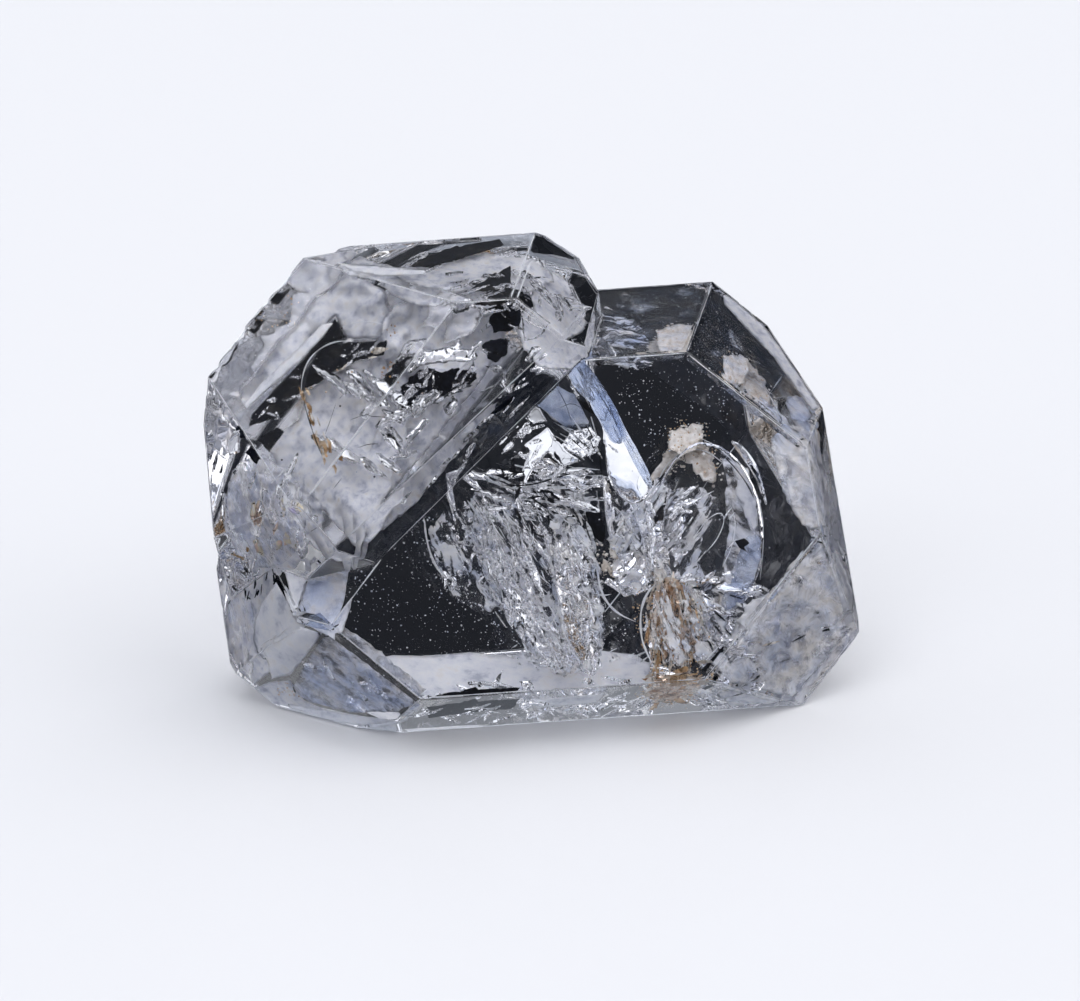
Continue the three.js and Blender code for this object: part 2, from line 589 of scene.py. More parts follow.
U, V = project(skin_v)
dist_px, s_px, total_px = along_polyline(np.c_[U, V], RIDGE_PX)
near = (dist_px < 40) & (skin_v[:, 0] < -5)
lobe = np.abs(np.sin(s_px / 11.5 + 1.3 * noise1(s_px / 22.0, 5))) ** 0.6
notch = (1 - lobe) * (0.7 + 0.4 * noise1(s_px / 9.0, 6))
ends = smooth(s_px, 0, 14) * (1 - smooth(s_px, total_px - 20, total_px - 2))
amp = (0.03 + 0.26 * np.clip(notch, 0, 1)) * ends * np.exp(-((dist_px / 12.0) ** 2))
inward = -np.array([-0.80, 0.10, 0.59])
skin_v[near] += inward * amp[near][:, None]

lo_mm, hi_mm = np.array(cad_lo) * 1000, np.array(cad_hi) * 1000
skin_v = np.clip(skin_v, lo_mm + 1e-4, hi_mm - 1e-4)

body = Builder()
body.add(skin_v, skin_faces)
print("outer skin triangles", len(skin_faces))


# -------------------------------------------------------- shapes sealed inside
def refine(poly, step):
    """Points along a closed outline at about one step, with its corners."""
    out = []
    for a, b in zip(poly, np.roll(poly, -1, axis=0)):
        n = max(1, int(round(np.linalg.norm(b - a) / step)))
        out.extend(a + (b - a) * i / n for i in range(n))
    return np.array(out)


def chaikin(poly, times=2, closed=True):
    p = np.array(poly, float)
    for _ in range(times):
        q = []
        pairs = zip(p, np.roll(p, -1, axis=0)) if closed else zip(p[:-1], p[1:])
        if not closed:
            q.append(p[0])
        for a, b in pairs:
            q += [0.75 * a + 0.25 * b, 0.25 * a + 0.75 * b]
        if not closed:
            q.append(p[-1])
        p = np.array(q)
    return p


def sheet(where, plane, outline, depth, gu=0.0, gv=0.0, thick=0.02, step=4.0,
          ripple=0.0, scale=10.0, streak=None, rough=1.5, seed=0, soft=2,
          void=False, bowl=0.0, bowl_power=1.0, wave=None, margin=0.08, ramp=None):
    """A thin closed lens whose outline is given in pixels as it shows through
    a facet. depth + gu, gv (mm per px) lay it out; ripple bends it."""
    out = chaikin(outline, soft) if soft else np.array(outline, float)
    out = refine(out, step)
    c = out.mean(0)
    k = 1 + rough * noise1(np.arange(len(out)) * 0.45 + 13 * seed, seed + 3) / np.maximum(
        np.linalg.norm(out - c, axis=1), 8
    )
    out = c + (out - c) * k[:, None]
    area2 = (out[:, 0] * np.roll(out[:, 1], -1) - out[:, 1] * np.roll(out[:, 0], -1)).sum()
    if area2 < 0:
        out = out[::-1]
    lo, hi = out.min(0), out.max(0)
    X, Y = np.meshgrid(np.arange(lo[0], hi[0] + step, step), np.arange(lo[1], hi[1] + step, step * 0.87))
    X = X + (np.arange(X.shape[0]) % 2)[:, None] * step / 2
    g = np.c_[X.ravel(), Y.ravel()]
    r = np.random.default_rng(seed + 900)
    g = g + r.uniform(-0.15, 0.15, g.shape) * step
    dist, ins = edge_distance(g, out)
    g = g[ins & (dist > 0.55 * step)]
    pts = np.concatenate([out, g]) if len(g) else out
    tri = triangulate(out, g)
    dist, _ = edge_distance(pts, out)
    dist[: len(out)] = 0
    dm = max(dist.max(), 1e-6)
    prof = np.sqrt(np.clip(dist / dm, 0, 1))
    q = np.c_[pts / scale, np.full(len(pts), seed * 3.3)]
    D = depth + gu * (pts[:, 0] - c[0]) + gv * (pts[:, 1] - c[1])
    rr = (pts - c) / (np.ptp(out, axis=0) / 2)
    D = D + bowl * (rr**2).sum(1) ** bowl_power
    if ramp:
        D = D + ramp(pts)
    if ripple:
        D = D + ripple * fbm(q, seed + 40, 3)
    if streak:  # (origin u, v, amount, angular frequency, radial length px)
        ou, ov, am, fr, ra = streak
        w = pts - np.array([ou, ov])
        ang, rad = np.arctan2(w[:, 1], w[:, 0]), np.linalg.norm(w, axis=1)
        D = D + am * fbm(np.c_[ang * fr, rad / ra, np.full(len(ang), 5.5)], seed + 60, 3)
    if wave:  # (origin u, v, amount, wavelength px)
        ou, ov, am, wl = wave
        w = pts - np.array([ou, ov])
        rad = np.linalg.norm(w, axis=1)
        D = D + am * np.sin(rad / wl * 2 * math.pi + 1.4 * fbm(q * 0.7, seed + 80, 2))
    t = thick * prof
    nb = len(out)
    mid = keep_in(inside(plane, pts[:, 0], pts[:, 1], D), margin)
    ray = inside(plane, pts[:, 0], pts[:, 1], D + 1.0) - inside(plane, pts[:, 0], pts[:, 1], D)
    front = mid - ray * t[:, None]
    back = (mid + ray * t[:, None])[nb:]
    verts = np.concatenate([front, back])
    bi = np.concatenate([np.arange(nb), np.arange(len(pts) - nb) + len(pts)])
    # in (u, v) with v down, a counterclockwise triangle faces away from the
    # camera, so the front layer is turned for a solid and the back one for a hollow
    tb = bi[tri]
    if void:
        where.add(verts, np.concatenate([tri, tb[:, ::-1]]))
    else:
        where.add(verts, np.concatenate([tri[:, ::-1], tb]))
    return where


def tube(where, plane, pts_px, depth, radius, seed=0, sides=6, taper=True, void=False, flat=1.0):
    """A thin rod along a line of pixels; depth is one number or one per point."""
    p = np.array(pts_px, float)
    dep = np.broadcast_to(np.asarray(depth, float), (len(p),)).copy()
    q = chaikin(np.c_[p, dep], 2, closed=False)
    c = inside(plane, q[:, 0], q[:, 1], q[:, 2])
    L = np.r_[0, np.cumsum(np.linalg.norm(np.diff(c, axis=0), axis=1))]
    n = max(4, int(L[-1] / 0.16))
    s = np.linspace(0, L[-1], n)
    c = np.c_[[np.interp(s, L, c[:, i]) for i in range(3)]].T
    c = keep_in(c, 0.08)
    tan = np.gradient(c, axis=0)
    tan /= np.linalg.norm(tan, axis=1, keepdims=True)
    a = np.cross(tan, INTO)
    a /= np.linalg.norm(a, axis=1, keepdims=True)
    b = np.cross(tan, a)
    rad = radius * (0.75 + 0.35 * noise1(s / 0.5 + 7 * seed, seed))
    if taper:
        rad = rad * np.sqrt(np.clip(np.minimum(s, s[-1] - s) / (0.25 * s[-1]) + 0.02, 0.02, 1))
    th = np.arange(sides) / sides * 2 * math.pi
    ringp = (
        c[:, None]
        + a[:, None] * (np.cos(th) * 1.0)[None, :, None] * rad[:, None, None]
        + b[:, None] * (np.sin(th) * flat)[None, :, None] * rad[:, None, None]
    )
    v = ringp.reshape(-1, 3)
    f = []
    for i in range(n - 1):
        for j in range(sides):
            k = (j + 1) % sides
            p0, p1, p2, p3 = i * sides + j, i * sides + k, (i + 1) * sides + k, (i + 1) * sides + j
            f += [(p0, p1, p2), (p0, p2, p3)]
    v = np.vstack([v, c[0], c[-1]])
    for j in range(sides):
        k = (j + 1) % sides
        f += [(len(v) - 2, k, j), (len(v) - 1, (n - 1) * sides + j, (n - 1) * sides + k)]
    where.add(v, f, void=void)


OCT_V = np.array([(1, 0, 0), (-1, 0, 0), (0, 1, 0), (0, -1, 0), (0, 0, 1), (0, 0, -1)], float)
OCT_F = np.array([(0, 2, 4), (2, 1, 4), (1, 3, 4), (3, 0, 4), (2, 0, 5), (1, 2, 5), (3, 1, 5), (0, 3, 5)])
_g = (1 + 5**0.5) / 2
ICO_V = np.array([(-1, _g, 0), (1, _g, 0), (-1, -_g, 0), (1, -_g, 0), (0, -1, _g), (0, 1, _g), (0, -1, -_g), (0, 1, -_g), (_g, 0, -1), (_g, 0, 1), (-_g, 0, -1), (-_g, 0, 1)]) / math.hypot(1, _g)
ICO_F = np.array([(0, 11, 5), (0, 5, 1), (0, 1, 7), (0, 7, 10), (0, 10, 11), (1, 5, 9), (5, 11, 4), (11, 10, 2), (10, 7, 6), (7, 1, 8), (3, 9, 4), (3, 4, 2), (3, 2, 6), (3, 6, 8), (3, 8, 9), (4, 9, 5), (2, 4, 11), (6, 2, 10), (8, 6, 7), (9, 8, 1)])


def frames(d):
    """Right-handed axes with the third along d."""
    d = d / np.linalg.norm(d, axis=1, keepdims=True)
    ref = np.where(np.abs(d[:, 2:3]) < 0.9, np.array([[0.0, 0, 1]]), np.array([[1.0, 0, 0]]))
    a = np.cross(ref, d)
    a /= np.linalg.norm(a, axis=1, keepdims=True)
    b = np.cross(d, a)
    return a, b, d


def scatter(where, shape, centres, axes, size, jitter=0.0, seed=0, void=False):
    """Copies of a small closed shape, each with its own size along three axes."""
    V0, F0 = shape
    r = np.random.default_rng(seed)
    a, b, c = axes
    n = len(centres)
    V = V0[None] * (1 + jitter * r.uniform(-1, 1, (n, len(V0), 1)))
    pts = (
        centres[:, None]
        + V[..., 0:1] * size[:, 0, None, None] * a[:, None]
        + V[..., 1:2] * size[:, 1, None, None] * b[:, None]
        + V[..., 2:3] * size[:, 2, None, None] * c[:, None]
    )
    f = F0[None] + (np.arange(n) * len(V0))[:, None, None]
    # the shapes are wound outwards and the axes are right-handed
    f = f.reshape(-1, 3)
    where.add(pts.reshape(-1, 3), f[:, ::-1] if void else f)


def in_poly(n, poly, r):
    poly = np.array(poly, float)
    lo, hi = poly.min(0), poly.max(0)
    out = np.zeros((0, 2))
    while len(out) < n:
        q = r.uniform(lo, hi, (n * 3, 2))
        _, ins = edge_distance(q, poly)
        out = np.concatenate([out, q[ins]])
    return out[:n]


def well_inside(p, margin=0.06):
    keep = np.ones(len(p), bool)
    for i, q in enumerate(p):
        loc, n, _, _ = TREE.find_nearest(Vector(q))
        keep[i] = (Vector(q) - loc).dot(n) < -margin
    return keep


white = Builder()  # healed feathers: pale scattering flakes, and pale lines under the edges that are painted highlights
veil = Builder()  # wide milky veils
film = Builder()  # smooth pale films; the one on the base is a painted reflection
haze = Builder()  # see-through blue-grey haze; over the column it is painted shade
# healed cracks with strands along one direction, by image angle in degrees
strands = {63: Builder(), -54: Builder(), 26: Builder()}
rust = Builder()  # stained crack
cloud = Builder()  # soft patchy veil
mist = Builder()  # very faint patchy veil
pins = Builder()  # pinpoint fluid inclusions and dust
clay = Builder()  # brown and tan clay
crust = Builder()  # beige crust
dark = Builder()  # near-black lines and sheets; those in the companion's dark wedge are painted shade
rainbow = Builder()  # thin films with interference colours

def shards(where, plane, n, poly, depth, angle, long, short, seed, steep=(0.05, 0.11),
           bright=0.8, void=True, thick=0.02, step=2.2, crumple=0.05, scale=7.0, spread=0.28):
    """Many small torn crack faces with their own tilts, inside a pixel polygon."""
    r = np.random.default_rng(seed)
    for i, (u, v) in enumerate(in_poly(n, poly, r)):
        th = math.radians(angle(u, v) if callable(angle) else angle) + r.normal(0, spread)
        a, b = r.uniform(*long), r.uniform(*short)
        m = int(r.integers(6, 10))
        t = (np.arange(m) + r.uniform(-0.32, 0.32, m)) / m * 2 * math.pi
        rad = 1 + r.uniform(-0.45, 0.4, m)
        x, y = np.cos(t) * a * rad, np.sin(t) * b * rad
        out = np.c_[u + x * math.cos(th) - y * math.sin(th), v + x * math.sin(th) + y * math.cos(th)]
        s = r.uniform(*steep) * r.choice([-1.0, 1.0])
        ta = th + math.pi / 2 + r.normal(0, 0.45)
        gu, gv = s * math.cos(ta), s * math.sin(ta)
        if gv > 0.01 and r.random() < bright:
            gu, gv = -gu, -gv
        sheet(where, plane, out, r.uniform(*depth), gu=gu, gv=gv, thick=thick, step=step,
              ripple=crumple, scale=scale, rough=1.2, seed=seed * 97 + i, soft=int(r.random() < 0.3), void=void)


def wisps(where, plane, n, poly, depth, angle, long, short, seed, spread=0.16, crumple=0.12, thick=0.014):
    """Slim fibres and flakes that lie in bundles."""
    shards(where, plane, n, poly, depth, angle, long, short, seed, steep=(0.01, 0.07), void=False,
           thick=thick, step=2.6, crumple=crumple, scale=6, spread=spread)


def specks(where, plane, n, poly, depth, size, seed, shape=None, flat=1.0, void=False, clump=0.0):
    """Pinpoints spread through a pixel polygon."""
    r = np.random.default_rng(seed)
    uv = in_poly(n, poly, r)
    if clump:
        keep = fbm(np.c_[uv / clump, np.full(len(uv), seed * 1.7)], seed, 2) > r.uniform(-0.9, 0.5, len(uv))
        uv = uv[keep]
    p = inside(plane, uv[:, 0], uv[:, 1], r.uniform(depth[0], depth[1], len(uv)))
    p = p[well_inside(p)]
    s = size[0] * (size[1] / size[0]) ** (r.random(len(p)) ** 1.8)
    d = r.normal(0, 1, (len(p), 3))
    scatter(where, shape or (OCT_V, OCT_F), p, frames(d), np.c_[s, s * r.uniform(0.6, 1.0, len(p)), s * flat],
            jitter=0.2, seed=seed + 1, void=void)


def arc(where, pts, depth, r, seed, plane=FRONT, **kw):
    tube(where, plane, pts, depth, r, seed, **kw)


def face_outline(plane, inset=4.0):
    """Outline of a whole facet in pixels, drawn in a little."""
    f = max(FACETS, key=lambda f: f["n"] @ plane[0] - abs(f["d"] - plane[1]))
    p = np.c_[project(CORNER[f["loop"]])]
    d = p - p.mean(0)
    ln = np.maximum(np.linalg.norm(d, axis=1, keepdims=True), 1.0)
    return p.mean(0) + d * np.clip(1 - inset / ln, 0.3, 1)


S = sheet

# --- 0 painted highlights along the edges of the crystals: fine broken pale lines under the skin
for (a, b), fs in edge_faces.items():
    ns = [FACETS[k]["n"] for k in fs]
    pa, pb = CORNER[a], CORNER[b]
    L = np.linalg.norm(pb - pa)
    if len(ns) != 2 or ns[0] @ ns[1] > math.cos(math.radians(10)) or L < 0.6:
        continue
    half = math.sqrt((1 + ns[0] @ ns[1]) / 2)
    into = -(ns[0] + ns[1]) / np.linalg.norm(ns[0] + ns[1])
    side = np.cross(into, (pb - pa) / L)
    n = max(5, int(L / 0.2))
    c = pa + (pb - pa) * np.linspace(0.03, 0.97, n)[:, None] + into * (0.085 / half)
    rad = np.clip(0.017 + 0.018 * fbm(c / 0.9, 77, 3), 0.003, 0.030)
    rad[[0, -1]] = 0.002
    ring4 = [side, into, -side, -into]
    v = np.stack([c + r4 * rad[:, None] for r4 in ring4], 1).reshape(-1, 3)
    f = []
    for i in range(n - 1):
        for j in range(4):
            k = (j + 1) % 4
            f += [(i * 4 + j, i * 4 + k, i * 4 + 4 + k), (i * 4 + j, i * 4 + 4 + k, i * 4 + 4 + j)]
    m = (n - 1) * 4
    f += [(0, 2, 1), (0, 3, 2), (m, m + 1, m + 2), (m, m + 2, m + 3)]
    white.add(v, f, void=False)

# --- 1 the feather cloud in the middle of the big crystal
# sweeping bundles, steep along their length
S(body, FRONT, [(478, 512), (492, 522), (507, 560), (524, 600), (548, 640), (560, 668), (545, 660), (520, 625), (500, 585), (486, 548)],
  4.4, gu=-0.05, gv=-0.012, thick=0.02, step=2.6, ripple=0.10, scale=9, streak=(430, 420, 0.16, 42, 70), seed=1, void=True)
S(body, FRONT, [(552, 535), (572, 545), (590, 580), (592, 640), (585, 668), (570, 650), (556, 600)],
  3.9, gu=0.055, gv=-0.014, thick=0.02, step=2.6, ripple=0.10, scale=8, streak=(540, 430, 0.12, 40, 60), seed=2, void=True)
S(body, FRONT, [(517, 533), (528, 548), (538, 570), (546, 602), (536, 588), (524, 562)],
  3.4, gu=-0.075, gv=-0.03, thick=0.02, step=2.0, ripple=0.03, scale=8, seed=3, void=True)
S(body, FRONT, [(528, 532), (540, 545), (553, 560), (548, 563), (536, 550)],
  3.8, gu=-0.07, gv=-0.03, thick=0.02, step=2.0, ripple=0.04, scale=6, seed=4, void=True)
shards(body, FRONT, 60, [(482, 508), (510, 520), (530, 580), (560, 640), (566, 670), (540, 665), (505, 610), (484, 550)],
       (2.6, 6.2), 63, (8, 20), (2.0, 4.6), 11)
shards(body, FRONT, 46, [(545, 540), (585, 545), (600, 600), (598, 668), (570, 672), (556, 610)],
       (2.6, 6.4), 74, (7, 17), (2.0, 4.8), 12)
shards(body, FRONT, 40, [(426, 515), (470, 500), (486, 545), (500, 600), (478, 606), (440, 580)],
       (3.0, 7.0), 68, (3.0, 8.0), (1.4, 3.0), 13, step=1.8, crumple=0.03)
shards(body, FRONT, 40, [(470, 478), (520, 462), (600, 470), (604, 500), (560, 520), (490, 515)],
       (4.2, 7.2), lambda u, v: 8 - (u - 540) * 0.25, (7, 20), (2.0, 4.4), 14)
shards(body, FRONT, 22, [(505, 495), (545, 500), (556, 540), (520, 540)],
       (4.2, 6.8), 55, (7, 15), (2.0, 4.2), 15)
# --- 2 the bright star and the grey pane above it
S(body, FRONT, [(537, 403), (547, 421), (533, 424), (526, 419)], 5.4, gu=-0.02, gv=-0.09, thick=0.02, step=2.2, ripple=0.01, scale=12, rough=0.4, seed=21, soft=0, void=True)
S(body, FRONT, [(548, 427), (557, 441), (567, 451), (581, 461), (562, 467), (548, 453), (536, 463), (530, 475), (525, 486), (522, 470), (530, 452), (524, 445), (536, 436)],
  5.0, gu=-0.03, gv=-0.07, thick=0.02, step=2.2, ripple=0.02, scale=10, rough=0.6, seed=22, soft=0, void=True)
S(film, FRONT, [(557, 387), (573, 395), (582, 410), (590, 424), (566, 425), (552, 419), (541, 406)], 6.4, gu=-0.02, gv=-0.02, thick=0.02, step=2.4, ripple=0.06, scale=9, rough=0.8, seed=23, soft=0)
S(haze, FRONT, [(555, 386), (574, 394), (592, 427), (566, 428), (539, 406)], 5.0, gu=0.0, gv=-0.01, thick=0.02, step=2.4, ripple=0.08, scale=8, rough=0.6, seed=27, soft=0)
arc(dark, [(557, 388), (566, 404), (572, 424)], 4.8, 0.016, 28)
arc(dark, [(560, 408), (572, 402), (584, 410)], 4.8, 0.014, 29)
S(body, FRONT, [(560, 446), (570, 432), (590, 426), (600, 438), (597, 452), (582, 459)], 5.4, gu=-0.05, gv=-0.07, thick=0.02, step=1.7, ripple=0.22, scale=5, rough=1.2, seed=24, soft=0, void=True)
wisps(white, FRONT, 12, [(556, 428), (600, 424), (600, 455), (560, 458)], (4.6, 5.2), lambda u, v: 20 + (u - 560) * 1.6, (6, 13), (0.6, 1.2), 251)
wisps(dark, FRONT, 8, [(556, 428), (600, 424), (600, 455), (560, 458)], (4.2, 4.8), lambda u, v: 10 + (u - 560) * 1.8, (5, 11), (0.4, 0.8), 252)
wisps(white, FRONT, 10, [(500, 396), (540, 380), (556, 386), (534, 404), (508, 420)], (4.6, 6.0), -40, (5, 12), (0.6, 1.4), 253)
S(body, FRONT, [(528, 462), (545, 455), (562, 467), (552, 478), (536, 480)], 5.8, gu=0.04, gv=0.08, thick=0.02, step=2.2, ripple=0.03, scale=8, rough=0.8, seed=25, soft=1, void=True)
shards(body, FRONT, 14, [(508, 420), (540, 425), (530, 460), (505, 455)], (4.6, 6.4), -25, (5, 12), (1.6, 3.4), 26, bright=0.6)
# --- 3 the pale blue column
S(body, FRONT, [(570, 366), (580, 360), (590, 372), (600, 388), (612, 404), (626, 432), (640, 458), (651, 479), (649, 494), (637, 506), (622, 500), (609, 482), (604, 452), (603, 424), (594, 405), (580, 392), (570, 380)],
  5.6, gu=0.02, gv=-0.062, thick=0.03, step=2.8, ripple=0.055, scale=24, rough=0.6, seed=31, soft=1, void=True)
# blue-grey haze in front of the column's upper part and right-hand edge: painted shade
S(haze, FRONT, [(570, 364), (581, 358), (592, 370), (606, 390), (622, 420), (628, 440), (616, 446), (604, 428), (594, 406), (580, 394), (569, 380)], 1.4, gu=0.0, gv=0.0, thick=0.02, step=2.8, ripple=0.05, scale=12, rough=0.8, seed=34, soft=1)
S(haze, FRONT, [(612, 402), (626, 430), (641, 456), (652, 478), (652, 492), (643, 480), (630, 456), (618, 430), (608, 406)], 1.0, thick=0.02, step=2.4, ripple=0.04, scale=12, rough=0.6, seed=35, soft=1)
S(haze, FRONT, [(571, 366), (582, 360), (594, 374), (608, 394), (620, 416), (624, 440), (612, 444), (602, 426), (592, 406), (580, 392), (570, 380)], 2.2, thick=0.02, step=2.8, ripple=0.08, scale=8, rough=1.6, seed=37, soft=1)
wisps(white, FRONT, 12, [(572, 372), (594, 374), (640, 470), (640, 500), (612, 480), (598, 420)], (4.0, 5.0), 64, (8, 20), (0.5, 1.1), 36, spread=0.05)
wisps(dark, FRONT, 5, [(576, 372), (592, 376), (618, 420), (608, 424), (590, 396)], (3.4, 3.9), 60, (8, 18), (0.4, 0.8), 38, spread=0.05)
shards(body, FRONT, 7, [(566, 372), (592, 366), (606, 400), (590, 412), (572, 400)], (4.6, 6.0), 60, (7, 14), (2.0, 4.0), 33, bright=0.9)
S(body, FRONT, [(603, 470), (612, 492), (616, 520), (611, 545), (606, 520), (603, 495)], 4.4, gu=0.09, gv=-0.01, thick=0.02, step=2.0, ripple=0.03, scale=8, rough=0.5, seed=32, soft=1, void=True)
# --- 4 the knot right of it
S(body, FRONT, [(612, 540), (622, 515), (640, 498), (654, 484), (660, 492), (646, 508), (656, 530), (652, 560), (656, 585), (646, 560), (640, 530), (630, 518), (620, 530)],
  4.8, gu=-0.075, gv=-0.045, thick=0.02, step=2.2, ripple=0.05, scale=9, rough=0.8, seed=41, soft=1, void=True)
shards(body, FRONT, 26, [(612, 505), (655, 490), (662, 540), (655, 590), (612, 590)], (4.0, 6.6), 50, (7, 16), (2.0, 4.2), 42)
S(body, FRONT, [(612, 560), (640, 548), (652, 575), (650, 592), (630, 596), (614, 580)], 6.2, gu=0.02, gv=-0.06, thick=0.02, step=2.2,
  ripple=0.03, scale=12, wave=(600, 540, 0.10, 11), rough=0.8, seed=43, soft=1, void=True)
# --- 5 the disc fracture
DISC = [(700, 441), (724, 446), (744, 466), (757, 492), (763, 525), (763, 556), (756, 584), (738, 606), (714, 618), (690, 612), (668, 596), (653, 566), (648, 532), (654, 498), (668, 466), (684, 449)]


def disc_ramp(p):
    w = p - np.array([706.0, 532.0])
    r = np.hypot(w[:, 0] / 57.0, w[:, 1] / 90.0)
    left = np.clip(r - 0.74, 0, None) * 57 * 0.07 * smooth(-w[:, 0], 14, 34) * smooth(p[:, 1], 470, 500)
    th = math.radians(-58)
    w2 = p - np.array([700.0, 540.0])
    x, y = w2[:, 0] * math.cos(th) + w2[:, 1] * math.sin(th), -w2[:, 0] * math.sin(th) + w2[:, 1] * math.cos(th)
    # long low swells across the middle
    swell = 0.03 * fbm(np.c_[x / 60.0, y / 16.0, np.full(len(x), 3.3)], 57, 1) * smooth(r, 0.86, 0.45) * smooth(p[:, 1], 486, 512)
    return left + swell


S(body, FRONT, DISC, 5.2, gu=0.0, gv=0.0, thick=0.03, step=2.5, ripple=0.02, scale=22, rough=0.5, seed=51, soft=2, void=True, ramp=disc_ramp)
S(body, FRONT, [(728, 438), (744, 446), (758, 466), (766, 494), (767, 508), (762, 496), (754, 474), (740, 455)],
  4.4, gu=-0.085, gv=-0.02, thick=0.02, step=2.0, ripple=0.015, scale=12, rough=0.3, seed=52, soft=2, void=True)
# the pale band inside its right-hand edge
S(cloud, FRONT, [(718, 446), (734, 454), (748, 470), (757, 490), (763, 520), (762, 552), (756, 582), (744, 604), (722, 614), (716, 600), (726, 580), (722, 556), (732, 530), (724, 506), (728, 482), (722, 462)],
  5.6, gu=0.004, gv=-0.006, thick=0.02, step=2.4, ripple=0.05, scale=9, rough=3.0, seed=56, soft=2)
S(film, FRONT, [(740, 478), (748, 480), (756, 498), (759, 522), (754, 536), (748, 524), (742, 504), (734, 490)], 5.7, thick=0.02, step=2.2, ripple=0.05, scale=7, rough=2.0, seed=58, soft=1)
S(cloud, FRONT, [(738, 536), (762, 528), (760, 570), (744, 604), (716, 614), (712, 600), (730, 580)], 6.0, thick=0.02, step=2.6, ripple=0.05, scale=9, rough=3.0, seed=59, soft=1)
S(haze, FRONT, [(740, 540), (763, 532), (758, 572), (744, 602), (722, 612), (720, 598), (734, 580)], 4.6, thick=0.02, step=2.6, ripple=0.05, scale=9, rough=2.0, seed=57, soft=2)
S(strands[-54], FRONT, [(654, 524), (660, 500), (682, 488), (706, 490), (724, 500), (716, 520), (700, 540), (700, 570), (716, 590), (688, 600), (664, 580)], 6.0, thick=0.02, step=3.2, ripple=0.35, scale=14, rough=3.0, seed=256, soft=1)
S(strands[-54], FRONT, [(606, 548), (616, 512), (640, 484), (664, 476), (672, 492), (650, 520), (656, 548), (650, 580), (634, 596), (614, 584)], 5.2, thick=0.02, step=3.0, ripple=0.35, scale=12, rough=3.0, seed=257, soft=1)
S(strands[63], FRONT, [(608, 492), (630, 494), (660, 526), (670, 566), (656, 590), (634, 560), (616, 520)], 4.8, thick=0.02, step=3.0, ripple=0.30, scale=12, rough=3.0, seed=258, soft=1)
S(strands[26], FRONT, [(660, 572), (700, 592), (746, 578), (774, 594), (746, 640), (706, 670), (688, 656), (690, 610)], 5.2, thick=0.02, step=3.2, ripple=0.35, scale=12, rough=3.0, seed=259, soft=1)
S(strands[63], FRONT, [(668, 580), (700, 592), (736, 600), (724, 640), (706, 664), (690, 650), (686, 610)], 4.0, thick=0.02, step=3.0, ripple=0.35, scale=12, rough=3.0, seed=260, soft=1)
wisps(white, FRONT, 9, [(662, 500), (700, 488), (734, 506), (738, 556), (704, 596), (668, 580)], (4.2, 5.0), -54, (6, 18), (0.5, 1.2), 266, spread=0.22)
wisps(white, FRONT, 16, [(665, 574), (745, 580), (772, 596), (744, 640), (706, 668), (690, 660), (690, 600)], (3.2, 6.6), lambda u, v: math.degrees(math.atan2(v - 575, u - 660)), (5, 12), (0.8, 2.0), 267)
wisps(dark, FRONT, 12, [(672, 580), (742, 585), (760, 600), (730, 640), (700, 656), (692, 610)], (3.0, 5.0), lambda u, v: math.degrees(math.atan2(v - 575, u - 660)), (4, 12), (0.5, 1.3), 268)
wisps(white, FRONT, 12, [(608, 548), (618, 512), (642, 486), (662, 478), (664, 496), (640, 520), (622, 560)], (4.0, 5.6), -56, (5, 13), (1.0, 2.4), 261)
shards(body, FRONT, 46, [(668, 570), (740, 575), (772, 596), (742, 640), (706, 668), (690, 660), (690, 600)], (3.2, 6.6), lambda u, v: math.degrees(math.atan2(v - 585, u - 668)), (6, 15), (2.0, 4.4), 53, bright=0.65)
shards(body, FRONT, 16, [(654, 515), (688, 500), (690, 560), (660, 572)], (4.0, 6.0), -50, (6, 12), (1.8, 3.4), 54, bright=0.6)
shards(body, FRONT, 12, [(664, 492), (690, 484), (712, 500), (690, 515), (660, 520)], (4.4, 6.0), -40, (6, 13), (1.8, 3.6), 55, bright=0.8)

# --- 6 white arcs, fibres and rims
arc(white, [(424, 514), (425, 530), (429, 550), (436, 567), (446, 579)], 4.2, 0.050, 1)
arc(white, [(597, 566), (599, 585), (606, 602), (618, 614), (636, 622)], 4.0, 0.050, 2)
arc(white, [(700, 438), (716, 445), (733, 460), (748, 478), (758, 495), (763, 520), (763, 550), (760, 580)], 5.6, 0.034, 3)
arc(dark, [(706, 444), (720, 452), (736, 468), (749, 486), (757, 505), (760, 530), (759, 556)], 5.7, 0.030, 4)
arc(white, [(657, 484), (664, 468), (676, 456), (690, 448), (704, 449), (716, 456), (730, 468)], 8.6, 0.030, 14)
arc(white, [(685, 550), (696, 534), (708, 518), (722, 511), (725, 522), (716, 542), (700, 558)], 4.9, 0.026, 15)
arc(white, [(730, 504), (736, 520), (733, 545), (722, 568)], 4.9, 0.024, 16)
arc(white, [(500, 487), (520, 489), (545, 481), (572, 467), (600, 470)], 5.6, 0.045, 5)
arc(white, [(482, 474), (494, 483), (508, 488)], 5.4, 0.06, 6)
arc(white, [(612, 540), (624, 520), (640, 505), (660, 482)], 4.6, 0.055, 7)
arc(white, [(657, 582), (646, 594), (640, 612), (641, 638), (648, 656), (656, 670)], 3.4, 0.060, 8)
arc(white, [(540, 407), (556, 387), (573, 396)], 5.9, 0.025, 10)
arc(white, [(446, 478), (450, 498), (453, 514)], 2.6, 0.08, 12)
arc(white, [(467, 500), (476, 512), (487, 527)], 3.9, 0.05, 13)
arc(white, [(606, 448), (604, 424), (609, 404)], 5.6, 0.03, 14)
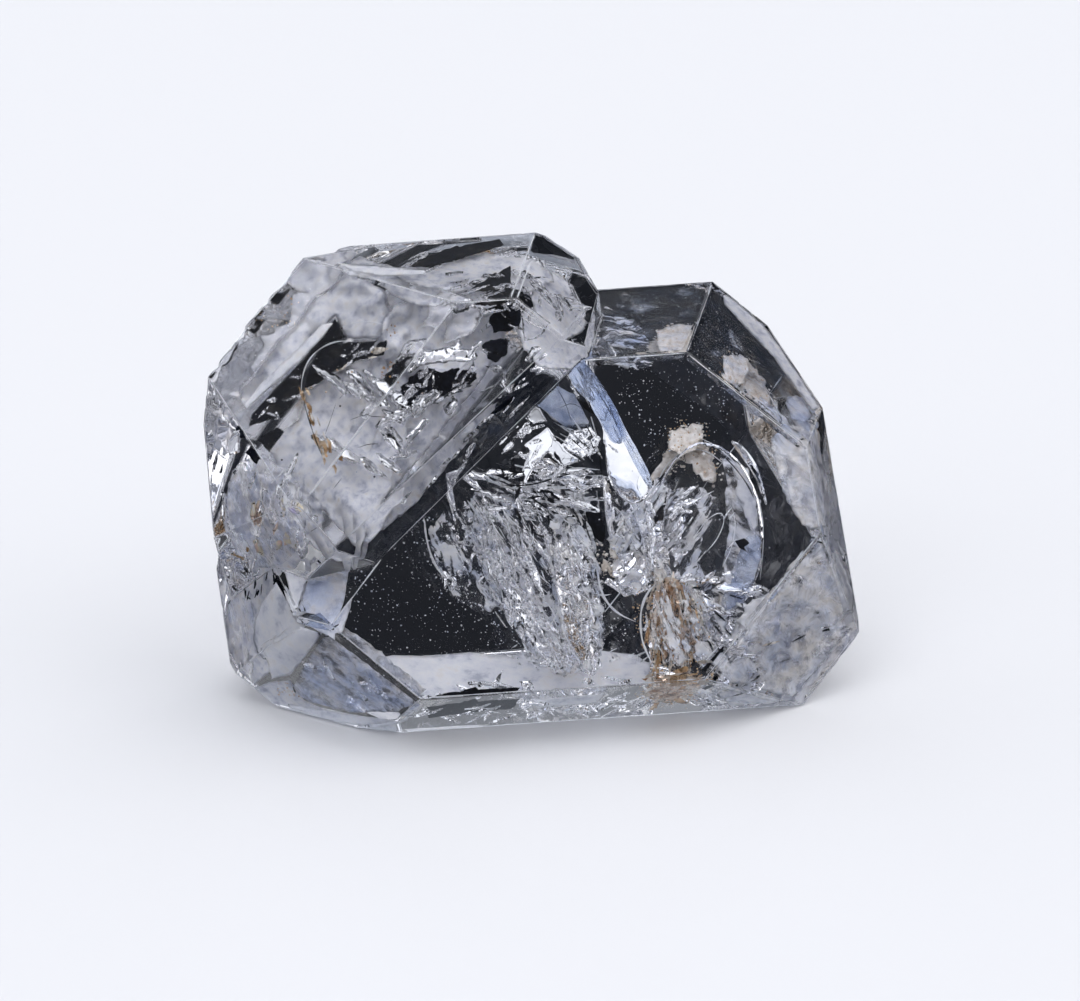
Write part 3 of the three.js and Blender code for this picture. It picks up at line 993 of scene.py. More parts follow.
# fine fibres that follow the bundles
rf = np.random.default_rng(61)
for i in range(64):
    u0, v0 = rf.uniform(478, 560), rf.uniform(505, 615)
    if i % 3 == 0:
        u0, v0 = rf.uniform(548, 590), rf.uniform(540, 630)
    L = rf.uniform(10, 34)
    a = math.radians(rf.normal(64, 9))
    k = rf.normal(0, 0.012)
    pts = [(u0 + math.cos(a + k * s) * s, v0 + math.sin(a + k * s) * s) for s in np.linspace(0, L, 5)]
    arc(white, pts, rf.uniform(2.8, 5.2), rf.uniform(0.014, 0.036), 100 + i, sides=5)
S(strands[63], FRONT, [(462, 494), (520, 476), (580, 486), (604, 500), (598, 560), (606, 640), (594, 670), (560, 680), (536, 662), (508, 614), (482, 560)],
  6.6, thick=0.02, step=3.4, ripple=0.5, scale=14, rough=5.0, seed=301, soft=1)
S(strands[63], FRONT, [(470, 504), (505, 510), (536, 560), (562, 620), (578, 674), (545, 670), (506, 622), (478, 560)],
  5.0, thick=0.02, step=3.2, ripple=0.4, scale=12, rough=4.0, seed=302, soft=1)
S(strands[63], FRONT, [(544, 516), (588, 526), (602, 580), (606, 650), (586, 676), (566, 650), (550, 590)],
  4.2, thick=0.02, step=3.2, ripple=0.4, scale=12, rough=4.0, seed=304, soft=1)
S(strands[63], FRONT, [(424, 522), (470, 502), (492, 560), (502, 614), (470, 608), (436, 578)],
  6.0, thick=0.02, step=3.4, ripple=0.4, scale=12, rough=5.0, seed=305, soft=1)
wisps(white, FRONT, 40, [(470, 500), (505, 512), (535, 570), (566, 640), (572, 678), (540, 674), (500, 622), (478, 562)], (3.0, 6.6), 62, (4, 13), (0.7, 2.2), 311)
wisps(white, FRONT, 26, [(548, 520), (590, 530), (604, 590), (602, 668), (574, 680), (556, 610)], (3.0, 6.6), 74, (4, 12), (0.7, 2.2), 312)
wisps(white, FRONT, 30, [(470, 478), (520, 462), (600, 468), (604, 505), (560, 530), (490, 515)], (4.4, 7.0), lambda u, v: 8 - (u - 540) * 0.25, (6, 15), (0.7, 2.0), 303)
wisps(film, FRONT, 16, [(556, 500), (584, 498), (588, 540), (566, 548)], (5.4, 6.6), 72, (6, 14), (1.2, 2.6), 307)
wisps(dark, FRONT, 22, [(498, 460), (530, 470), (560, 500), (560, 540), (520, 530), (500, 490)], (4.0, 5.6), 40, (4, 11), (0.9, 2.4), 308, spread=0.5)
wisps(white, FRONT, 34, [(500, 640), (560, 646), (642, 644), (646, 666), (520, 672)], (4.4, 6.6), -10, (3, 9), (0.7, 1.8), 309, spread=0.6)
# flakes on the feathers
S(white, FRONT, [(591, 606), (600, 603), (606, 609), (601, 616), (592, 617), (588, 612)], 3.4, thick=0.05, step=2, rough=0.6, seed=71, soft=1)
S(white, FRONT, [(543, 549), (549, 548), (551, 557), (545, 560)], 3.4, thick=0.05, step=2, rough=0.4, seed=72, soft=1)
S(white, FRONT, [(553, 575), (566, 580), (574, 606), (566, 600), (557, 590)], 3.8, thick=0.03, step=2, rough=1.0, seed=73, soft=1)
S(white, FRONT, [(625, 575), (640, 580), (648, 592), (634, 590)], 5.4, thick=0.03, step=2, rough=0.8, seed=74, soft=1)

# --- 7 dust and pinpoints
WINDOW_TOP = [(612, 362), (700, 352), (742, 400), (735, 436), (690, 428), (655, 470), (640, 440), (618, 404)]
WINDOW_LOW = [(345, 575), (430, 505), (500, 560), (600, 640), (640, 650), (400, 655), (352, 630)]
specks(pins, FRONT, 300, WINDOW_TOP, (0.15, 3.5), (0.012, 0.05), 81)
specks(pins, FRONT, 620, WINDOW_LOW, (0.15, 4.0), (0.012, 0.052), 82)
specks(pins, FRONT, 240, [(400, 525), (500, 500), (520, 640), (440, 610)], (1.0, 6.0), (0.016, 0.06), 83)
specks(pins, FRONT, 260, [(560, 480), (760, 450), (780, 640), (640, 660)], (0.3, 6.0), (0.012, 0.04), 84)
specks(pins, FRONT, 120, [(500, 600), (600, 600), (640, 640), (520, 650)], (1.0, 5.0), (0.02, 0.06), 85)
specks(pins, TOP, 200, [(605, 295), (715, 290), (715, 340), (610, 345)], (0.1, 2.5), (0.010, 0.032), 86)
specks(pins, BRIGHT_R, 130, [(716, 300), (770, 340), (800, 400), (745, 400), (715, 345)], (0.1, 2.5), (0.010, 0.035), 87)

# --- 8 clay, iron stains and beige crust
BROWN = [(647, 590), (660, 582), (676, 584), (688, 600), (692, 625), (688, 655), (676, 672), (658, 666), (646, 646), (643, 615)]
GRAIN = (ICO_V, ICO_F)


def down(u, v):
    return 90 - (u - 664) * 0.35


shards(clay, FRONT, 15, BROWN, (4.4, 5.6), down, (10, 22), (2.0, 4.6), 91, steep=(0.01, 0.06), void=False, thick=0.03, crumple=0.16, scale=5, spread=0.10)
shards(crust, FRONT, 15, BROWN, (3.8, 5.0), down, (7, 18), (1.3, 3.0), 92, steep=(0.01, 0.06), void=False, thick=0.03, crumple=0.12, scale=5, spread=0.14)
shards(body, FRONT, 14, BROWN, (3.2, 4.6), down, (8, 18), (1.4, 3.0), 93, bright=0.8, spread=0.14)
shards(clay, FRONT, 9, [(648, 600), (668, 590), (684, 610), (684, 640), (664, 655), (650, 635)], (3.6, 4.6), down, (6, 15), (1.2, 2.4), 94, steep=(0.01, 0.06), void=False, thick=0.025, crumple=0.12, scale=5, spread=0.12)
wisps(crust, FRONT, 26, [(652, 588), (690, 586), (706, 620), (696, 664), (662, 672), (644, 640)], (3.4, 4.6), down, (5, 13), (0.8, 2.0), 88, spread=0.14)
wisps(clay, FRONT, 16, [(676, 590), (700, 596), (704, 640), (688, 660)], (3.6, 5.0), 84, (5, 12), (0.8, 2.0), 89, spread=0.2)
specks(clay, FRONT, 300, [(634, 585), (700, 580), (712, 640), (690, 676), (650, 670), (632, 620)], (3.2, 6.2), (0.02, 0.07), 98, shape=GRAIN, flat=0.5)
specks(crust, FRONT, 160, [(648, 640), (690, 640), (694, 674), (655, 672)], (3.2, 5.6), (0.02, 0.08), 97, shape=GRAIN, flat=0.5)
specks(crust, FRONT, 80, [(590, 540), (618, 545), (614, 578), (594, 582)], (4.0, 5.0), (0.02, 0.09), 99, shape=GRAIN, flat=0.5)
shards(crust, FRONT, 6, [(592, 548), (616, 552), (612, 578), (596, 578)], (4.2, 4.8), 70, (4, 9), (1.4, 3.0), 96, steep=(0.01, 0.05), void=False, thick=0.025, crumple=0.08, scale=4)
# the clay film on the back face shows through three faces
FLAKE = [(646, 482), (656, 470), (666, 452), (676, 440), (690, 431), (700, 436), (709, 446), (712, 456), (702, 449), (690, 448), (678, 455), (668, 468), (656, 482)]
S(crust, FRONT, FLAKE, 9.1, thick=0.08, step=2.0, ripple=0.14, scale=4, rough=2.6, seed=101, soft=1)
S(crust, FRONT, [(676, 446), (684, 436), (698, 438), (703, 450), (690, 456)], 9.3, thick=0.14, step=2.0, ripple=0.18, scale=4, rough=2.4, seed=102, soft=1)
specks(crust, FRONT, 120, [(660, 456), (690, 428), (716, 446), (714, 466), (664, 474)], (8.6, 9.6), (0.03, 0.10), 103, shape=GRAIN, flat=0.6)
S(crust, TOP, [(656, 333), (664, 325), (680, 323), (691, 329), (689, 344), (678, 353), (664, 350), (656, 343)], 8.3, thick=0.10, step=2.2, ripple=0.20, scale=5, rough=2.6, seed=104, soft=1)
S(crust, BRIGHT_R, [(731, 362), (738, 355), (750, 358), (760, 374), (772, 398), (770, 410), (757, 404), (746, 392), (737, 378)], 8.2, thick=0.10, step=2.2, ripple=0.20, scale=5, rough=2.6, seed=105, soft=1)
specks(crust, TOP, 60, [(650, 322), (694, 320), (694, 352), (654, 356)], (7.8, 8.8), (0.03, 0.10), 106, shape=GRAIN, flat=0.6)
specks(crust, BRIGHT_R, 60, [(726, 352), (756, 352), (778, 400), (772, 414), (740, 392)], (7.6, 8.8), (0.03, 0.10), 107, shape=GRAIN, flat=0.6)
specks(clay, TOP, 40, [(654, 325), (690, 322), (690, 350), (658, 352)], (7.6, 8.2), (0.02, 0.06), 108, shape=GRAIN, flat=0.6)
specks(clay, BRIGHT_R, 40, [(730, 356), (756, 356), (774, 400), (768, 410), (740, 390)], (7.4, 8.1), (0.02, 0.06), 109, shape=GRAIN, flat=0.6)

# --- 9 dark lines and near-black patches in the big crystal
arc(dark, [(603, 440), (599, 462), (604, 486), (612, 500), (628, 514)], 5.0, 0.035, 111)
arc(dark, [(500, 485), (530, 486), (560, 476), (590, 470)], 5.2, 0.035, 112)
arc(dark, [(520, 527), (540, 536), (556, 540)], 4.8, 0.045, 113)
S(dark, FRONT, [(578, 400), (590, 402), (598, 417), (592, 414), (584, 408)], 5.2, thick=0.03, step=2, rough=0.5, seed=114, soft=0)
S(dark, FRONT, [(588, 502), (600, 508), (606, 530), (602, 545), (590, 530), (585, 514)], 6.2, thick=0.06, step=2.2, ripple=0.05, scale=6, seed=115, soft=1)
S(dark, FRONT, [(702, 669), (723, 646), (729, 647), (724, 654), (706, 673)], 2.2, thick=0.05, step=2, rough=0.4, seed=116, soft=0)
arc(white, [(699, 668), (710, 656), (721, 644)], 2.1, 0.03, 117)
S(dark, FRONT, [(735, 541), (744, 538), (750, 543), (744, 547), (747, 552), (739, 548)], 4.0, thick=0.04, step=1.8, rough=0.6, seed=120, soft=0)
wisps(dark, FRONT, 4, [(655, 600), (684, 596), (690, 640), (660, 650)], (3.4, 4.2), down, (6, 14), (0.5, 1.2), 119, spread=0.08)
S(rust, FRONT, [(646, 606), (650, 592), (660, 588), (664, 576), (676, 578), (684, 590), (690, 606), (686, 622), (694, 640), (688, 652), (690, 668), (676, 672), (664, 666), (656, 650), (648, 640), (650, 622)], 3.9, thick=0.02, step=2.8, ripple=0.25, scale=9, rough=5.0, seed=118, soft=0)
S(strands[63], FRONT, [(650, 596), (668, 582), (690, 600), (700, 630), (690, 668), (664, 664), (650, 636)], 3.4, thick=0.02, step=2.8, ripple=0.25, scale=9, rough=5.0, seed=146, soft=1)
S(rust, LO_FRONT, [(648, 690), (660, 683), (676, 685), (690, 681), (700, 685), (694, 694), (680, 696), (672, 702), (654, 700)], 0.7, thick=0.02, step=2.6, ripple=0.06, scale=9, rough=3.0, seed=110, soft=0)

# --- 10 the companion: cracks, stains and spots behind its hazy face
# milky veils across it, with the dark wedge between them: its near-black sheets are painted shade
S(veil, LR, [(232, 386), (262, 340), (300, 294), (345, 272), (384, 290), (396, 322), (386, 338), (350, 339), (344, 334), (335, 316), (322, 328), (298, 354), (272, 384), (246, 408)],
  3.6, gu=0.004, gv=0.002, thick=0.03, step=3.6, ripple=0.45, scale=20, rough=2.0, seed=129, soft=0)
S(veil, LR, [(306, 392), (318, 384), (334, 373), (356, 362), (388, 356), (390, 392), (386, 430), (366, 482), (346, 522), (318, 512), (288, 478), (268, 450), (284, 430), (300, 418)],
  3.8, gu=0.004, gv=0.002, thick=0.03, step=3.6, ripple=0.45, scale=18, rough=2.0, seed=131, soft=0)
S(veil, LM, [(398, 322), (440, 306), (492, 302), (512, 318), (500, 350), (470, 396), (430, 446), (392, 492), (360, 516), (358, 486), (378, 430), (388, 370)],
  4.0, gu=0.002, gv=0.004, thick=0.03, step=3.6, ripple=0.45, scale=18, rough=3.0, seed=130, soft=1)
S(dark, LR, [(335, 319), (345, 337), (326, 343), (308, 362), (301, 386), (290, 408), (276, 418), (249, 426), (252, 414), (277, 387), (305, 357), (328, 328)],
  3.1, gu=0.01, gv=0.0, thick=0.03, step=2.6, ripple=0.10, scale=16, rough=0.8, seed=128, soft=0)
S(dark, LR, [(257, 440), (277, 427), (284, 432), (270, 452)], 2.4, thick=0.02, step=2.4, ripple=0.04, scale=8, rough=0.8, seed=127, soft=0)
S(dark, LR, [(325, 345), (355, 342), (388, 340), (384, 355), (355, 361), (334, 372), (318, 384), (305, 388), (310, 366)],
  2.7, thick=0.02, step=2.2, ripple=0.10, scale=7, rough=1.4, seed=126, soft=0)
S(film, LR, [(333, 323), (324, 336), (300, 361), (272, 386), (247, 408), (243, 404), (262, 382), (296, 351), (322, 324)],
  2.2, thick=0.02, step=2.4, ripple=0.04, scale=12, rough=0.8, seed=125, soft=0)
arc(white, [(301, 392), (302, 376), (308, 360), (320, 348), (336, 341), (354, 341)], 1.6, 0.035, 124, plane=LR)
arc(white, [(340, 328), (352, 323), (368, 321), (386, 325)], 1.8, 0.022, 123, plane=LR)
shards(body, LR, 9, [(282, 382), (304, 366), (302, 404), (270, 424), (262, 412)], (1.4, 2.6), -30, (3, 8), (1.2, 2.6), 122, steep=(0.04, 0.09), crumple=0.03)
shards(body, LR, 8, [(312, 362), (330, 350), (356, 346), (384, 346), (360, 358), (330, 372)], (1.2, 2.2), -24, (4, 10), (1.4, 3.4), 121, steep=(0.03, 0.08), crumple=0.03)
shards(body, LR, 12, [(322, 372), (386, 362), (392, 400), (370, 462), (334, 462), (316, 420)], (1.6, 3.6), 40, (10, 22), (3, 7), 132, steep=(0.02, 0.05), crumple=0.02, scale=12, step=2.8)
shards(body, LM, 12, [(395, 330), (500, 310), (500, 350), (440, 430), (400, 470), (385, 400)], (1.2, 3.4), -42, (10, 22), (2.5, 6), 133, steep=(0.02, 0.06), bright=0.5, crumple=0.02, scale=12, step=2.8)
# dark torn patches of the prism face
S(dark, LM, [(399, 396), (406, 378), (424, 370), (448, 370), (468, 368), (477, 376), (466, 388), (448, 394), (434, 404), (416, 402), (404, 412)],
  3.2, thick=0.02, step=2.2, ripple=0.20, scale=7, rough=3.0, seed=134, soft=1)
shards(body, LM, 20, [(398, 380), (420, 366), (478, 364), (476, 384), (440, 404), (402, 412)], (1.6, 2.8), -20, (5, 13), (1.2, 3.0), 155, steep=(0.03, 0.09), bright=0.6, crumple=0.05, spread=0.5)
S(dark, LM, [(482, 344), (494, 338), (508, 340), (507, 352), (498, 362), (486, 358)], 2.2, thick=0.02, step=2.0, ripple=0.12, scale=5, rough=2.4, seed=135, soft=0)
S(dark, LM, [(498, 304), (512, 304), (522, 312), (521, 326), (508, 333), (494, 332), (488, 322)], 2.2, thick=0.02, step=2.0, ripple=0.10, scale=6, rough=2.0, seed=136, soft=0)
S(dark, LM, [(486, 409), (500, 395), (512, 391), (508, 400), (492, 410)], 1.2, thick=0.02, step=2.0, ripple=0.01, scale=8, rough=0.3, seed=137, soft=0)
S(body, LM, [(416, 352), (450, 346), (480, 352), (476, 362), (440, 362), (414, 368)], 2.2, gu=-0.02, gv=-0.03, thick=0.02, step=2.2, ripple=0.04, scale=7, rough=1.2, seed=138, soft=1, void=True)
S(body, LM, [(438, 318), (470, 306), (488, 308), (474, 332), (440, 346), (424, 344)], 2.6, gu=-0.08, gv=0.03, thick=0.02, step=2.6, ripple=0.03, scale=14, rough=1.0, seed=139, soft=0, void=True)
shards(body, LM, 16, [(486, 300), (524, 306), (520, 350), (508, 372), (482, 368)], (1.2, 2.6), 30, (4, 10), (1.4, 3.4), 140, steep=(0.05, 0.10), bright=0.5, crumple=0.04)
# the olive crack with its ochre edge
OLIVE = [(303, 388), (309, 392), (314, 408), (320, 424), (330, 440), (331, 452), (323, 458), (315, 444), (308, 424), (302, 404)]
shards(clay, LR, 10, OLIVE, (1.7, 2.1), 68, (5, 11), (1.4, 2.8), 142, steep=(0.01, 0.04), void=False, thick=0.02, crumple=0.06, scale=4, spread=0.14)
shards(crust, LR, 6, OLIVE, (1.5, 1.8), 68, (3, 8), (0.8, 1.8), 143, steep=(0.01, 0.04), void=False, thick=0.02, crumple=0.05, scale=4, spread=0.16)
arc(dark, [(303, 390), (304, 404), (309, 420), (315, 438), (322, 456)], 1.5, 0.028, 141, plane=LR)
shards(crust, LR, 6, [(332, 366), (360, 354), (388, 346), (388, 352), (360, 362), (336, 372)], (1.7, 2.0), -18, (3, 8), (0.8, 1.8), 144, steep=(0.01, 0.04), void=False, thick=0.02, crumple=0.05, scale=4)
for i, pts in enumerate([[(355, 380), (347, 390), (338, 400)], [(336, 403), (331, 418), (325, 435)], [(350, 420), (366, 414), (382, 415)], [(355, 446), (366, 442), (378, 442)], [(331, 487), (340, 476)], [(284, 555), (303, 538)]]):
    p_ = pts if len(pts) > 2 else [pts[0], ((pts[0][0] + pts[1][0]) / 2, (pts[0][1] + pts[1][1]) / 2), pts[1]]
    tube(dark, LR, p_, 0.5 if i > 1 else 1.4, 0.016, 150 + i)
spots = np.array([(340, 406), (379, 404), (378, 476), (264, 528), (342, 328), (282, 460), (385, 461)], float)
p = keep_in(inside(LR, spots[:, 0], spots[:, 1], 0.35), 0.1)
scatter(dark, (ICO_V, ICO_F), p, frames(np.tile([[0.3, 0.2, 1.0]], (len(p), 1))), np.full((len(p), 3), 0.045), 0.2, 7)
spots = np.array([(337, 370), (390, 367), (395, 333), (352, 372), (326, 392), (309, 416), (372, 352)], float)
p = keep_in(inside(LR, spots[:, 0], spots[:, 1], 1.5), 0.1)
scatter(clay, (ICO_V, ICO_F), p, frames(np.tile([[0.3, 0.2, 1.0]], (len(p), 1))), np.tile([[0.07, 0.05, 0.04]], (len(p), 1)), 0.3, 8)
for i, (u, v) in enumerate([(392, 330), (389, 366), (386, 373)]):
    specks(clay, LR, 14, [(u - 5, v - 6), (u + 5, v - 5), (u + 6, v + 6), (u - 5, v + 6)], (1.2, 1.8), (0.02, 0.07), 166 + i, shape=GRAIN, flat=0.5)
specks(clay, LR, 50, [(262, 298), (298, 292), (300, 325), (268, 330)], (0.8, 3.6), (0.015, 0.05), 162, shape=GRAIN, flat=0.5)
specks(pins, LR, 160, [(225, 380), (300, 280), (400, 320), (380, 470), (320, 520), (240, 430)], (0.1, 2.5), (0.010, 0.035), 163)
specks(pins, LM, 90, [(390, 310), (500, 310), (440, 420), (350, 510)], (0.1, 2.5), (0.010, 0.032), 164)
S(body, LM, [(521, 315), (546, 331), (536, 339), (524, 341)], 1.0, gu=0.0, gv=0.0, thick=0.03, step=2, rough=0.4, seed=165, soft=0, void=True)
# shards in the striated band, and the bright wedge at its lower side
shards(body, LB, 16, [(400, 500), (470, 425), (540, 355), (556, 362), (500, 430), (430, 500)], (0.5, 1.8), -43, (7, 18), (1.2, 3.2), 167, steep=(0.04, 0.09), bright=0.85, crumple=0.03, spread=0.12)
S(body, LB, [(446, 474), (458, 470), (456, 494), (452, 515), (448, 498)], 1.0, gu=-0.02, gv=-0.08, thick=0.02, step=2.0, ripple=0.02, scale=8, rough=0.6, seed=168, soft=0, void=True)

# --- 11 the conchoidal fracture low on the left
CONCH = [(230, 474), (250, 470), (282, 480), (296, 505), (296, 535), (284, 562), (258, 574), (234, 572), (226, 545), (224, 505)]
S(veil, LL, CONCH, 2.2, gu=0.002, gv=0.004, thick=0.03, step=3.0, ripple=0.16, scale=12, wave=(262, 610, 0.06, 15), rough=1.6, seed=171, soft=1)
shards(body, LL, 14, CONCH, (0.7, 1.7), 96, (9, 24), (2.0, 4.6), 172, steep=(0.03, 0.09), bright=0.8, crumple=0.03, spread=0.18)
shards(rainbow, LL, 9, [(250, 486), (280, 488), (292, 515), (284, 545), (262, 560), (240, 560), (250, 520)], (0.5, 1.2), 96, (7, 17), (1.6, 3.6), 175, steep=(0.01, 0.05), void=False, thick=0.02, crumple=0.03, spread=0.16)
shards(rainbow, LL, 3, [(276, 504), (294, 506), (292, 522), (278, 520)], (0.4, 0.8), 60, (4, 9), (1.5, 3.0), 176, steep=(0.01, 0.05), void=False, thick=0.02, crumple=0.03)
S(strands[63], LL, [(228, 480), (246, 452), (262, 470), (286, 484), (296, 510), (290, 548), (262, 570), (236, 568), (226, 540)], 1.4, thick=0.02, step=2.8, ripple=0.12, scale=9, rough=1.6, seed=170, soft=1)
shards(clay, LL, 4, [(222, 540), (240, 540), (244, 566), (228, 570)], (0.5, 1.3), 80, (3, 8), (0.8, 1.8), 173, steep=(0.01, 0.05), void=False, thick=0.02, crumple=0.05, scale=4)
shards(dark, LL_FOOT, 12, [(228, 578), (284, 574), (280, 592), (236, 602)], (0.5, 1.3), lambda u, v: 90 + (u - 252) * 0.9, (3, 7), (0.6, 1.3), 177, steep=(0.01, 0.05), void=False, thick=0.015, crumple=0.03, scale=4)
specks(clay, LL, 36, [(224, 545), (244, 548), (262, 584), (232, 588)], (0.4, 1.6), (0.015, 0.05), 174, shape=GRAIN, flat=0.5)
S(body, LL, [(228, 432), (240, 430), (240, 452), (229, 456)], 0.9, gu=0.10, gv=0.10, thick=0.02, step=2.0, ripple=0.01, scale=8, rough=0.4, seed=178, soft=0, void=True)

# --- 12 the lower left corner and the right end
S(film, F1, [(282, 563), (311, 567), (297, 610), (291, 596)], 0.8, thick=0.02, step=2.2, ripple=0.02, scale=14, rough=0.3, seed=179, soft=0)
S(film, F1, [(313, 566), (350, 563), (344, 600), (335, 626), (314, 614), (297, 611)], 1.2, gu=0.01, gv=0.01, thick=0.02, step=2.4, ripple=0.06, scale=8, rough=0.4, seed=180, soft=0)
S(mist, F1, [(314, 566), (350, 563), (344, 600), (335, 626), (314, 614), (298, 611)], 0.6, thick=0.02, step=2.4, ripple=0.03, scale=8, rough=0.4, seed=186, soft=0)
S(haze, F1, [(300, 617), (320, 613), (333, 625), (314, 622)], 0.7, thick=0.02, step=2.0, rough=0.3, seed=213, soft=0)
S(film, F4, [(276, 582), (298, 619), (258, 654), (253, 640), (255, 620), (262, 602)], 1.0, gu=0.01, gv=0.01, thick=0.02, step=2.6, ripple=0.02, scale=18, rough=0.1, seed=181, soft=0)
S(veil, F4, face_outline(F4, 4), 2.6, gu=0.004, gv=0.004, thick=0.02, step=3.4, ripple=0.10, scale=12, rough=0.6, seed=215, soft=0)
S(strands[63], F4, [(228, 600), (250, 596), (256, 620), (250, 650), (244, 680), (230, 640)], 1.0, thick=0.02, step=2.6, ripple=0.05, scale=9, rough=1.0, seed=216, soft=0)
BEVEL = plane_at(380, 728)
S(film, BEVEL, face_outline(BEVEL, 3), 0.4, thick=0.02, step=2.6, ripple=0.02, scale=12, rough=0.4, seed=217, soft=0)
S(dark, F4, [(276, 576), (298, 616), (294, 616), (273, 584)], 1.1, thick=0.02, step=2.2, rough=0.3, seed=187, soft=0)
S(film, LEFT_LOW, [(264, 651), (300, 627), (322, 633), (306, 656), (290, 675), (272, 679)], 0.8, thick=0.02, step=2.4, ripple=0.02, scale=16, rough=0.5, seed=182, soft=0)
S(cloud, LEFT_LOW, [(326, 634), (352, 653), (400, 690), (416, 702), (396, 712), (350, 712), (310, 702), (292, 690), (306, 662)], 1.6, thick=0.02, step=3.0, ripple=0.20, scale=10, rough=1.0, seed=195, soft=0)
S(mist, LEFT_LOW, [(326, 634), (352, 653), (400, 690), (416, 702), (396, 712), (350, 712), (310, 702), (292, 690), (306, 662)], 0.8, thick=0.02, step=3.0, ripple=0.10, scale=10, rough=1.0, seed=222, soft=0)
S(veil, LEFT_LOW, [(250, 690), (268, 682), (290, 680), (304, 700), (330, 712), (380, 722), (372, 728), (320, 722), (276, 708)], 1.0, thick=0.02, step=2.8, ripple=0.05, scale=10, rough=0.8, seed=218, soft=0)
S(film, LEFT_LOW, [(286, 703), (320, 709), (362, 716), (396, 720), (408, 712), (414, 706), (404, 722), (376, 728), (330, 722), (292, 710)], 0.5, thick=0.02, step=2.4, ripple=0.02, scale=16, rough=0.8, seed=196, soft=0)
shards(body, LEFT_LOW, 8, [(310, 664), (340, 655), (390, 695), (360, 708), (320, 696)], (0.8, 1.8), 38, (6, 14), (1.6, 3.6), 197, steep=(0.03, 0.08), bright=0.5)
specks(clay, LEFT_LOW, 46, [(274, 680), (294, 684), (300, 698), (278, 696)], (0.4, 1.0), (0.015, 0.06), 183, shape=GRAIN, flat=0.5)
S(veil, RIGHT_LOW, [(744, 640), (790, 602), (826, 560), (846, 596), (850, 640), (806, 684), (728, 694)], 3.2, gu=0.004, gv=0.002, thick=0.03, step=4.0, ripple=0.4, scale=20, rough=4.0, seed=188, soft=1)
shards(body, RIGHT_LOW, 20, [(735, 640), (800, 610), (845, 620), (836, 650), (800, 690), (720, 695)], (0.8, 2.8), -20, (6, 16), (2.0, 5.0), 184, steep=(0.03, 0.08), bright=0.7, crumple=0.03)
wisps(dark, RIGHT_LOW, 9, [(740, 640), (818, 606), (830, 640), (790, 670), (740, 690)], (0.8, 2.0), -28, (4, 12), (0.6, 1.8), 189, spread=0.3)
S(film, RIGHT_LOW, [(800, 590), (826, 556), (846, 592), (853, 634), (820, 676), (780, 690), (730, 696), (752, 676), (784, 662), (806, 640), (800, 616)], 2.2, thick=0.02, step=3.4, ripple=0.20, scale=14, rough=3.0, seed=198, soft=1)
S(film, RIGHT_LOW, [(742, 636), (756, 608), (784, 594), (796, 604), (782, 626), (760, 648)], 1.4, thick=0.02, step=2.6, ripple=0.20, scale=8, rough=3.0, seed=223, soft=1)
S(cloud, RIGHT_LOW, face_outline(RIGHT_LOW, 6), 1.1, thick=0.02, step=4.0, ripple=0.2, scale=14, rough=1.0, seed=224, soft=0)
wisps(dark, RIGHT_LOW, 7, [(742, 676), (756, 658), (766, 658), (752, 684)], (1.3, 1.8), -48, (4, 8), (0.8, 1.6), 225, spread=0.2)
wisps(dark, RIGHT_LOW, 9, [(794, 624), (808, 616), (824, 608), (828, 614), (812, 630)], (1.3, 1.8), -24, (3, 8), (0.7, 1.5), 226, spread=0.4)
wisps(dark, RIGHT_LOW, 8, [(780, 606), (790, 586), (800, 572), (804, 582), (790, 608)], (1.3, 1.8), -62, (4, 8), (0.6, 1.3), 227, spread=0.3)
wisps(white, RIGHT_LOW, 10, [(730, 650), (790, 604), (826, 566), (846, 600), (846, 636), (806, 684), (722, 694)], (0.8, 2.8), lambda u, v: -26 - (u - 780) * 0.3, (5, 12), (0.8, 2.4), 197, spread=0.3)
wisps(crust, RIGHT_LOW, 8, [(730, 650), (770, 630), (780, 670), (724, 692)], (0.8, 2.4), -20, (4, 10), (0.8, 2.0), 199, spread=0.3)
shards(clay, LO_FRONT, 8, [(650, 684), (700, 682), (694, 700), (648, 702)], (0.4, 1.4), -8, (5, 12), (1.2, 2.6), 190, steep=(0.01, 0.05), void=False, thick=0.02, crumple=0.05, scale=4)
shards(crust, LO_FRONT, 8, [(640, 686), (712, 682), (700, 703), (640, 705)], (0.6, 1.8), -8, (4, 10), (1.0, 2.2), 191, steep=(0.01, 0.05), void=False, thick=0.02, crumple=0.05, scale=4)
specks(clay, LO_FRONT, 110, [(650, 682), (704, 680), (700, 702), (645, 704)], (0.3, 1.8), (0.02, 0.06), 185, shape=GRAIN, flat=0.5)
shards(body, LO_FRONT, 14, [(520, 704), (610, 694), (640, 694), (636, 708), (530, 716)], (0.4, 1.6), -6, (6, 16), (1.2, 3.0), 192, steep=(0.03, 0.08), bright=0.7)
shards(body, LO_FRONT, 10, [(424, 706), (520, 702), (516, 718), (420, 722)], (0.4, 1.6), -4, (10, 24), (1.2, 3.0), 193, steep=(0.03, 0.08), bright=0.3)
S(dark, LO_FRONT, [(428, 707), (470, 701), (520, 699), (512, 709), (470, 712), (430, 718)], 0.9, thick=0.02, step=2.4, ripple=0.05, scale=6, rough=2.4, seed=219, soft=0)
S(film, LO_FRONT, [(530, 699), (560, 697), (604, 694), (596, 702), (560, 706), (536, 708)], 0.7, thick=0.02, step=2.4, ripple=0.05, scale=6, rough=2.4, seed=220, soft=0)
wisps(white, LO_FRONT, 18, [(440, 706), (640, 690), (640, 706), (440, 718)], (0.3, 1.2), -6, (4, 11), (0.6, 1.4), 221, spread=0.3)
